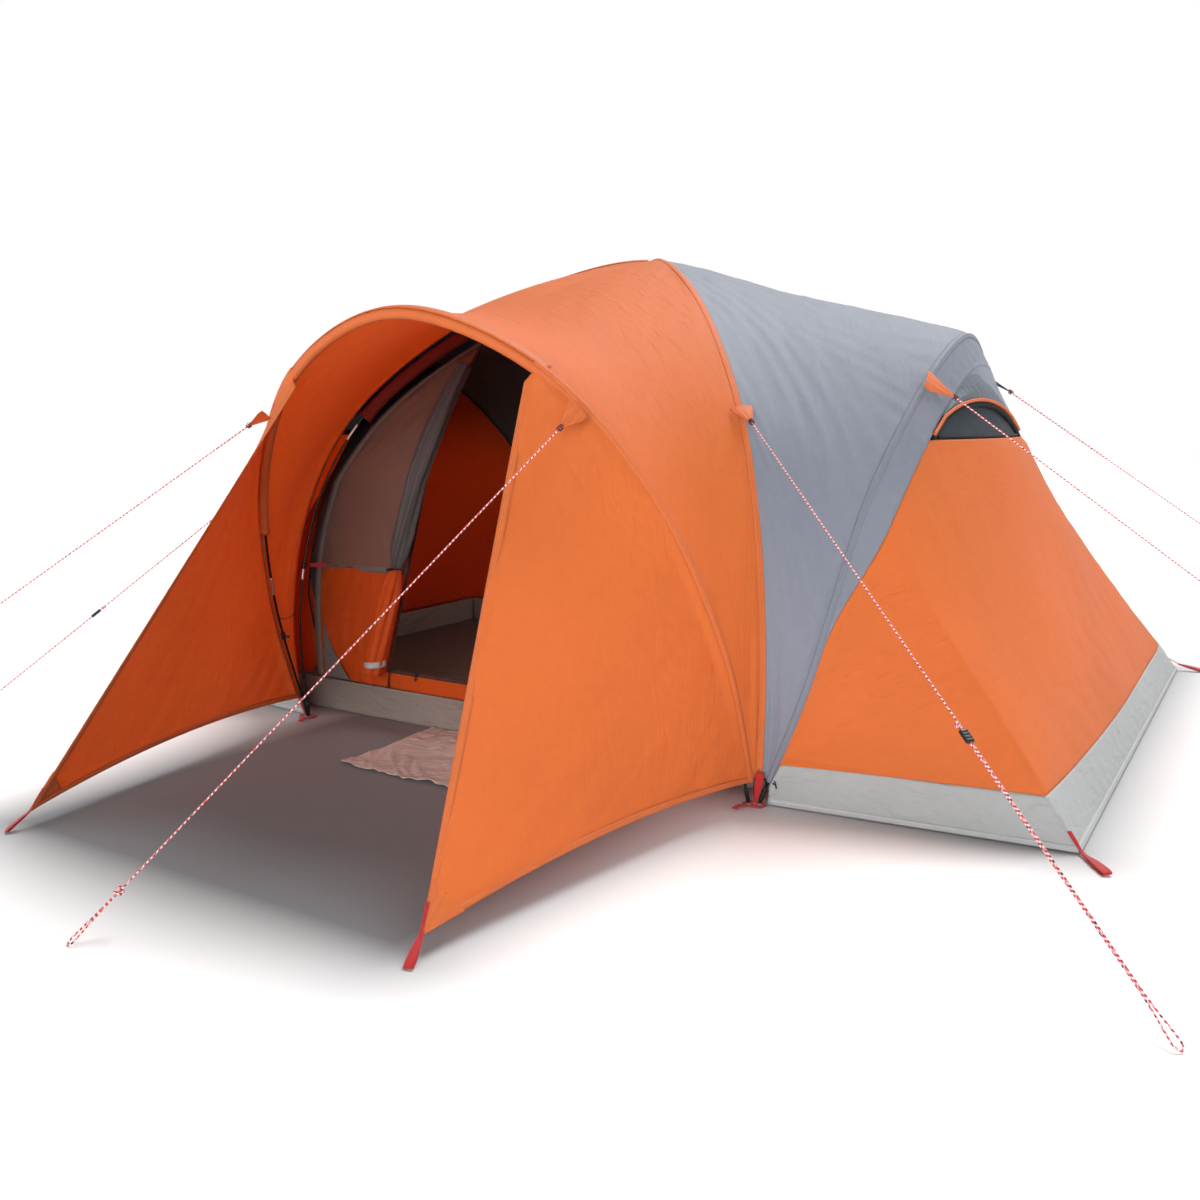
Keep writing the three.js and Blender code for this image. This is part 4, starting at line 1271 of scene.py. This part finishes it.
def make_rolled_door():
    heights = np.linspace(ROLL_FOOT, ROLL_TOP, 150)
    middle = roll_path(heights)
    for name, low, high, material, seed in (
        ("door_roll_upper", TIE_Z, ROLL_TOP, GREY_INNER, 201),
        ("door_roll_lower", ROLL_FOOT, TIE_Z, ORANGE_INNER, 202),
    ):
        keep = (heights >= low - 0.005) & (heights <= high + 0.005)
        path = middle[keep]
        z = heights[keep]
        sides = 40
        turn = np.linspace(0, 2 * math.pi, sides, endpoint=False)
        zz, tt = np.meshgrid(z, turn, indexing="ij")
        pinch = 1 - 0.45 * np.exp(-(((zz - TIE_Z) / 0.05) ** 2)) - 0.25 * smooth((zz - 1.1) / 0.3)
        pleats = 0.14 * np.sin(tt * 5 + 3 * np.sin(zz * 4 + seed)) + 0.08 * np.sin(tt * 9 - zz * 9 + seed)
        lumpy = 0.07 * folds(zz, tt * 0.03, 0.09, seed)
        radius = 0.036 * pinch * (1 + pleats + lumpy)
        stands = ("door_roll",) if "upper" in name else ()
        piece = tube(name, path, radius, material, sides, stands_for=stands)
    at = roll_path(TIE_Z)
    ring = at + circle(40) * 0.027
    tube("door_toggle_loop", ring, 0.003, BLACK_WEB, sides=8, stands_for=("door_tie",), slot="cord_tie")
    bar = np.linspace(at + xyz(-0.02, -0.033, -0.004), at + xyz(0.02, -0.033, 0.004), 9)
    half = [0.003, 0.005, 0.0055, 0.005]
    tube("door_toggle", bar, [*half, 0.0045, *reversed(half)], HARD, sides=10)


# ---- Guy lines ----
GUYS = {  # the tip of each tab, the peg its line runs to, the way the tab faces and its length
    "porch_right": ((0.622, -0.54, 1.178), (0.03, -1.712, 0.004), (0.94, -0.15, 0.3), 0.06),
    "porch_left": ((-0.622, -0.54, 1.178), (-2.0, -1.52, 0.004), (-0.94, -0.15, 0.3), 0.048),
    "mid_right": ((0.888, 0.122, 1.192), (2.256, -0.844, 0.008), (0.55, -0.6, 0.58), 0.06),
    "mid_left": ((-0.888, 0.122, 1.192), (-1.93, -0.95, 0.008), (-0.55, -0.6, 0.58), 0.06),
    "cabin_right": ((1.385, 0.595, 1.268), (2.855, 1.693, 0.004), (0.6, -0.35, 0.72), 0.084),
    "rear_right": ((1.352, 1.53, 1.3), (3.01, 2.68, 0.004), (0.6, 0.33, 0.73), 0.046),
}
STRAND = 0.0032  # half the distance between the two strands of a doubled line
PEG_LOOP = [(0.14, STRAND), (0.105, 0.0036), (0.065, 0.0065), (0.03, 0.0105), (0.005, 0.011)]
RUNNER_AT = 0.61  # share of a line above its runner
RUNNER_L = 0.04
KNOT_AT = 0.155  # a line without a runner is knotted this far from its peg
UP = xyz(0, 0, 1)


def line_path(tip, peg, home):
    """Down from the tab, round the peg, and back up beside itself for that distance."""
    along = unit(peg - tip)
    side = unit(np.cross(UP, along))

    def from_peg(back, across):
        return peg - along * back + side * across

    out = [from_peg(back, half) for back, half in PEG_LOOP]
    back = [from_peg(back, -half) for back, half in reversed(PEG_LOOP)]
    loop = spline([*out, from_peg(-0.006, 0), *back])
    down = lerp(tip + along * 0.001, loop(0.0), column(np.linspace(0, 1, 80)))
    up = lerp(loop(1.0), from_peg(home, -STRAND), column(np.linspace(0, 1, 40)))
    path = np.concatenate([down, loop(np.linspace(0, 1, 80))[1:], up[1:]])
    path[:, 2] = np.maximum(path[:, 2], CORD_D / 2 + 0.0005)
    return path


def knot(name, at, along, size=1.0, material=BRAID):
    """A small overhand knot with its two turns showing."""
    side = unit(np.cross(UP, along))
    up = np.cross(along, side)
    t = np.linspace(0, 1, 70)
    turn = 2 * math.pi * 2.4 * t
    wide = (0.0048 + 0.0012 * np.sin(math.pi * t)) * size
    path = at + along * column((t - 0.5) * 0.015 * size)
    path = path + side * column(np.cos(turn) * wide) + up * column(np.sin(turn) * wide)
    return tube(name, path, 0.0021 * size, material, sides=8)


def make_lines():
    for name, (tip, peg, _, _) in GUYS.items():
        tip, peg = xyz(*tip), xyz(*peg)
        along = unit(peg - tip)
        doubled = name.startswith("mid")
        home = np.linalg.norm(peg - tip) * (1 - RUNNER_AT) + 0.012 if doubled else KNOT_AT
        path = line_path(tip, peg, home)
        line = tube(f"line_{name}", path, CORD_D / 2, BRAID, sides=10,
                    stands_for=(f"guy_line_{name}",))
        on_line = [knot(f"line_{name}_tab_knot", tip + along * 0.004, along, 1.15, DARK_RED)]
        if doubled:
            side = name.removeprefix("mid_")
            on_line.append(make_runner(side, tip + (peg - tip) * RUNNER_AT, along))
            end = peg - along * (home + 0.004) - unit(np.cross(UP, along)) * STRAND
            on_line.append(knot(f"line_{name}_end_knot", end, along, 0.9))
        else:
            on_line.append(knot(f"line_{name}_peg_knot", peg - along * KNOT_AT, along, 1.4))


def make_runner(side, at, along):
    across = unit(np.cross(UP, along))
    notches = [(0.27, 0.045, 0.3), (0.5, 0.045, 0.3), (0.73, 0.045, 0.3)]
    bar = rounded_bar(at, along, across, RUNNER_L, 0.012, 0.006, notches, sides=32, steps=61)
    return body(f"runner_{side}", bar, HARD, f"runner_{side}", (f"guy_runner_mid_{side}",))


def make_tab(name, tip, peg, out, size):
    """A three-cornered flap sewn to the fly, which the line pulls out straight."""
    along = unit(peg - tip)
    across = unit(np.cross(out, along))
    facing = np.cross(along, across)
    rear = name.startswith("rear")
    t, w = mesh_grid(np.linspace(-0.75 if rear else -0.35, 1, 32), np.linspace(-1, 1, 17))
    half = lerp(0.6 * size, 0.005, np.clip(t, 0, 1) ** 0.9)
    curl = -0.16 * half * w**2 + 0.0012 * np.sin(9 * w) * np.sin(math.pi * np.clip(t, 0, 1))
    points = tip - along * column(size * (1 - t)) + across * column(w * half) + facing * column(curl)
    material = BLACK_WEB if rear else ORANGE_SEAM
    cloth(f"tab_{name}", points, material, centre=tip - facing, thickness=0.0018,
          stands_for=(f"guy_tab_{name}",))


def make_tabs():
    for name, (tip, peg, out, size) in GUYS.items():
        make_tab(name, xyz(*tip), xyz(*peg), xyz(*out), size)
        if name in ("cabin_right", "rear_right"):
            twin = name.replace("right", "left")
            make_tab(twin, xyz(*tip) * MIRROR, xyz(*peg) * MIRROR, xyz(*out) * MIRROR, size)


# ---- Webbing on the ground ----
def tape(name, path, half, across, thickness=0.0014, **rest):
    """Flat tape along a path, with its half width at each point."""
    path = spline(path)(np.linspace(0, 1, 60))
    half = np.interp(np.linspace(0, 1, 60), np.linspace(0, 1, len(half)), half)
    w = np.linspace(-1, 1, 7)
    rows = path[:, None] + unit(across) * (half[:, None] * w)[..., None]
    rows[..., 2] = np.maximum(rows[..., 2], thickness / 2)
    return strip(name, rows, RED, thickness=thickness, centre=path.mean(0) - UP, **rest)


def make_loop(name, inner, tip, end, turn=1):
    """A tape sewn on the cloth, pinched at its corner and folded back on itself over the ground."""
    inner, tip, end = inner * turn, tip * turn, end * turn
    out = unit(end - tip)
    across = unit(np.cross(UP, out)) + UP * 0.18
    middle = lerp(tip, end, 0.5) + UP * 0.006
    sewn = [inner + UP * 0.008, lerp(inner, tip, 0.5) + UP * 0.006]
    upper = [*sewn, tip + UP * 0.003, middle, end + UP * 0.007]
    fold = [end + out * 0.004 + UP * 0.003, end - out * 0.01]
    under = [*fold, lerp(tip, end, 0.5) - UP * 0.001, tip - UP * 0.001]
    half = [0.006, 0.005, 0.0045, 0.0105, 0.013, 0.013, 0.013, 0.0105, 0.005]
    tape(f"{name}_tape", upper + under, half, across, stands_for=(name,))


def make_loops():
    for side, turn, _ in SIDES:
        front = xyz(SIDE_X, EDGE_Y, HEM_Z + 0.004)
        make_loop(f"corner_loop_front_{side}", wall_line(HIP, 0.95), front,
                  xyz(SIDE_X + 0.085, EDGE_Y - 0.12, 0.003), turn)
        rear = xyz(SIDE_X + 0.002, BACK_Y, HEM_Z + 0.024)
        make_loop(f"corner_loop_rear_{side}", wall_line(1 - HIP, 0.95), rear,
                  xyz(SIDE_X + 0.105, BACK_Y + 0.015, 0.003), turn)
        make_loop(f"wing_loop_{side}", WING_TIP + xyz(-0.012, 0.04, 0.055), WING_TIP,
                  xyz(0.776, -1.385, 0.003), turn)


# An end of the tent, the line of its feet, and where its pole tips stand on a foot
FEET = (("front", 0, ((0, 0), (-0.014, -0.014), (0.016, 0))), ("rear", REAR_Y, ((0, 0), (0.016, 0))))


def make_feet():
    """Each foot is a webbing pad with eyelets for the pole tips, sewn to a tape from the fly."""
    for side, turn, _ in SIDES:
        for end, y, tips in FEET:
            foot = xyz(FOOT_X, y, 0)
            x, w = mesh_grid(np.linspace(-0.036, 0.036, 30), np.linspace(-1, 1, 20))
            deep = 0.024 * np.minimum(1, (1.02 - (np.abs(x) / 0.036) ** 6) ** 0.5)
            plate_y = y - 0.004 if end == "front" else y + 0.011
            z = 0.0032 + 0.0007 * lumps(x, w * 0.02, 0.03, 210)
            pad = np.stack([FOOT_X + x, plate_y + w * deep, z], -1)
            strip(f"foot_pad_{end}_{side}", pad * turn, RED, thickness=0.0045,
                  centre=(foot - UP) * turn, stands_for=(f"foot_plate_{end}_{side}",))
            ring = foot + xyz(0, 0, 0.007) + circle(30) * 0.0075
            eyelets = [tube_mesh((ring + xyz(dx, dy, 0)) * turn, 0.0014, 8) for dx, dy in tips]
            body(f"foot_eyelets_{end}_{side}", join_meshes(eyelets), METAL)
            sign = -1 if end == "front" else 1
            tag = foot + xyz(-0.012, 0.03 * sign, 0.004)
            tag_end = foot + xyz(-0.035, 0.078 * sign, 0.004)
            path = [tag * turn, lerp(tag, tag_end, 0.6) * turn + UP * 0.006, tag_end * turn]
            tape(f"foot_tag_{end}_{side}", path, [0.006, 0.009, 0.0105],
                 np.cross(UP, unit(tag_end - tag) * turn), thickness=0.003)
        top = (fly_ridge(0.024) + porch_seam(0.976) + fly_arch(0.024)) / 3
        base = xyz(FOOT_X + 0.002, -0.006, 0.006)
        path = [base, *(lerp(base, top, k) + xyz(0.004, -0.006, 0) for k in (0.3, 0.7)), top]
        tape(f"foot_strap_{side}", [q * turn for q in path], [0.006, 0.009, 0.0125, 0.014],
             xyz(1, 0.35, 0) * turn, thickness=0.002)
        make_foot_clip(side, turn)


def pole_piece(curve, s, reach, radius):
    """A short sleeve on a pole, thicker in its middle."""
    half = reach / 2 / curve.length
    profile = radius * np.array([0.8, 0.97, 1, 0.94, 0.94, 1, 0.97, 0.8])
    return tube_mesh(curve(np.linspace(s - half, s + half, 8)), profile, 14)


def turned_over(mesh, turn):
    """A mesh as it is, or its mirror image with its faces turned to match."""
    points, faces, uv = mesh
    if np.isscalar(turn):
        return mesh
    return points * turn, [face[::-1] for face in faces], uv


def make_foot_clip(side, turn):
    """A hook on the cabin pole that holds the skirt's first edge."""
    s = height_share(pole_cabin, 0.085)
    pole = pole_cabin(s)
    edge = pole + xyz(0.03, -0.012, -0.006)
    bar = tube_mesh(np.linspace(pole + xyz(-0.016, -0.004, 0.004), edge, 10), 0.0028, 10)
    ends = edge + xyz(-0.004, 0, 0.012), edge + xyz(0.002, 0, -0.012)
    cross = tube_mesh(np.linspace(*ends, 8), 0.0024, 10)
    mesh = join_meshes([pole_piece(pole_cabin, s, 0.026, 0.0085), bar, cross])
    body(f"skirt_clip_{side}", turned_over(mesh, turn), HARD)


# ---- Inner tent's fittings ----
CLIP_Z = 0.62


def make_clips():
    """Hooks on the poles, each with a tape to the inner tent's wall."""
    for side, turn, _ in DOOR_SIDES:
        for end, curve in (("front", pole_left), ("rear", pole_right)):
            s = height_share(curve, CLIP_Z)
            s = s if end == "front" else 1 - s
            pole = curve(s) * turn
            to_wall = unit(HUB + xyz(0, 0, pole[2] - HUB[2]) - pole)
            start, middle, last = pole + to_wall * 0.006, pole + to_wall * 0.026, pole + to_wall * 0.085
            arm = tube_mesh(np.linspace(start, middle, 8), np.linspace(0.0055, 0.0035, 8), 10)
            hook = turned_over(pole_piece(curve, s, 0.028, 0.0085), turn)
            body(f"clip_{end}_{side}", join_meshes([hook, arm]), HARD)
            tape(f"clip_tape_{end}_{side}", [middle - to_wall * 0.006, lerp(middle, last, 0.5), last],
                 [0.007, 0.0085, 0.01], np.cross(to_wall, UP) * 0.35 + UP, thickness=0.0016)


def make_porch_ties():
    """A thin cord between the porch pole and the main pole, and the hook under it."""
    for side, turn, _ in DOOR_SIDES:
        porch_s, main_s = height_share(pole_porch, 0.44), height_share(pole_left, 0.47)
        a, b = pole_porch(porch_s) * turn, pole_left(main_s) * turn
        t = np.linspace(0, 1, 40)
        path = lerp(a, b, column(t)) - UP * column(0.03 * 4 * t * (1 - t))
        tie = tube(f"porch_tie_{side}", path, 0.0016, DARK_RED, sides=8, slot="cord_tie")
        s = height_share(pole_porch, 0.36)
        hook = pole_piece(pole_porch, s, 0.03, 0.0088)
        at = pole_porch(s)
        bar = tube_mesh(np.linspace(at, at + xyz(0.02, 0.012, -0.004), 8), 0.0045, 10)
        body(f"porch_hook_{side}", turned_over(join_meshes([hook, bar]), turn), HARD)


def make_zip():
    """The slider that runs on the sill's zip, with its pull tab."""
    at = xyz(-0.52, TRAY_Y[0] + 0.004 - 0.006, DOOR_FOOT + 0.009)
    right, back = xyz(1, 0, 0), xyz(0, 1, 0)
    case = rounded_bar(at - right * 0.007, right, UP, 0.014, 0.005, 0.004, [(0.5, 0.16, 0.22)], steps=21)
    t = np.linspace(0, math.pi, 14)
    bridge = at + right * column(0.0048 * np.cos(t)) - back * column(0.002 + 0.0045 * np.sin(t))
    mesh = join_meshes([case, tube_mesh(bridge, 0.0011, 8)])
    body("zip_body", mesh, HARD, "zip_slider", ("zip_slider",))
    top = at - back * 0.0073 + UP * 0.001
    z = np.linspace(0, 1, 26)
    half = np.interp(z, [0, 0.12, 0.85, 1], [0.0026, 0.004, 0.004, 0.0022])
    w = np.linspace(-1, 1, 9)
    grid = (top - UP * column(0.03 * z))[:, None] + right * (half[:, None] * w)[..., None]
    grid[..., 1] -= 0.0003 * np.sin(12 * z)[:, None]
    pull = shell(grid, 0.0014, at + back)
    eye = top - UP * 0.0035 + circle(20, 1) * 0.0026 - back * 0.0008
    mesh = join_meshes([pull, tube_mesh(eye, 0.0006, 8)])
    body("zip_pull_tab", mesh, HARD, "zip_puller", ("zip_puller",))


def make_mat():
    """The mat of ground cloth in front of the door, creased where it was folded."""
    u, v = mesh_grid(np.linspace(-0.43, 0.43, 110), np.linspace(-0.39, 0.129, 80))
    wide = 1 + 0.02 * np.sin(9 * v) + 0.012 * np.sin(23 * v + 1)
    edge = 0.006 * np.sin(11 * u) + 0.004 * np.sin(31 * u + 2)
    x = u * np.minimum(wide, 1.01)
    y = v + edge * smooth((0.129 - v) / 0.4)
    rise = 0.009 * np.abs(folds(u + 0.5 * v, v, 0.23, 221))
    rise += 0.006 * np.abs(folds(v - 0.3 * u, u, 0.17, 222)) + 0.004 * np.abs(lumps(u, v, 0.3, 223))
    points = np.stack([x, y, 0.0016 + rise], -1)
    under = xyz(0, 0, -5)
    cloth("porch_mat", points, MAT, thickness=0.0014, centre=under,
          stands_for=("door_mat",))
    rows = np.swapaxes(points, 0, 1)[::-1]
    hem_band("porch_mat_hem", rows, -1, 0.015, MAT, centre=under, lift=0.001)


def make_inner_details():
    """Seams of the inner tent, the patch in the door wall's lower corner and the band round the roll."""
    for side, turn, _ in SIDES:
        rear = np.linspace(0.51, 0.93, 120)
        edge = inner_ridge(rear) * turn
        toward = unit(HUB * turn + xyz(0, 0, 0.6) - edge)
        rows = [(a, 0, 0) for a in (-0.012, -0.004, 0.004, 0.012)]
        band(f"inner_rear_seam_{side}", edge + toward * 0.01, rows, RED_SEAM, HUB * 3)
    z = np.linspace(WALL_FOOT + 0.01, 0.37, 30)
    s, w = mesh_grid(front_share(z), np.linspace(0, 1, 24))
    height = (front_edge(s)[..., 2] - z[0]) / (z[-1] - z[0])
    reach = 0.34 * np.clip(1 - height, 0.03, 1) ** 1.6 + 0.02
    patch = lerp(front_edge(s), beside(s), column(0.12 + w * reach)) - xyz(0, 0.011, 0)
    strip("door_corner_patch", patch, PATCH, centre=FAR_BEHIND)
    around = roll_path(0.245)
    ring = circle(50)
    ring[:, 2] = 0.06 * ring[:, 0]
    ring = around + ring * 0.0415
    rows = [(0, 0, a) for a in (-0.012, -0.004, 0.004, 0.012)]
    band("door_roll_band", ring, rows, SKIRT_HEM, around)


make_camera()
make_lines()
make_studio()
make_poles()
make_roof()
make_sides()
make_cabins()
make_wings()
make_seams()
make_tabs()
make_loops()
make_feet()
make_inner()
make_rolled_door()
make_clips()
make_porch_ties()
make_zip()
make_mat()
make_inner_details()
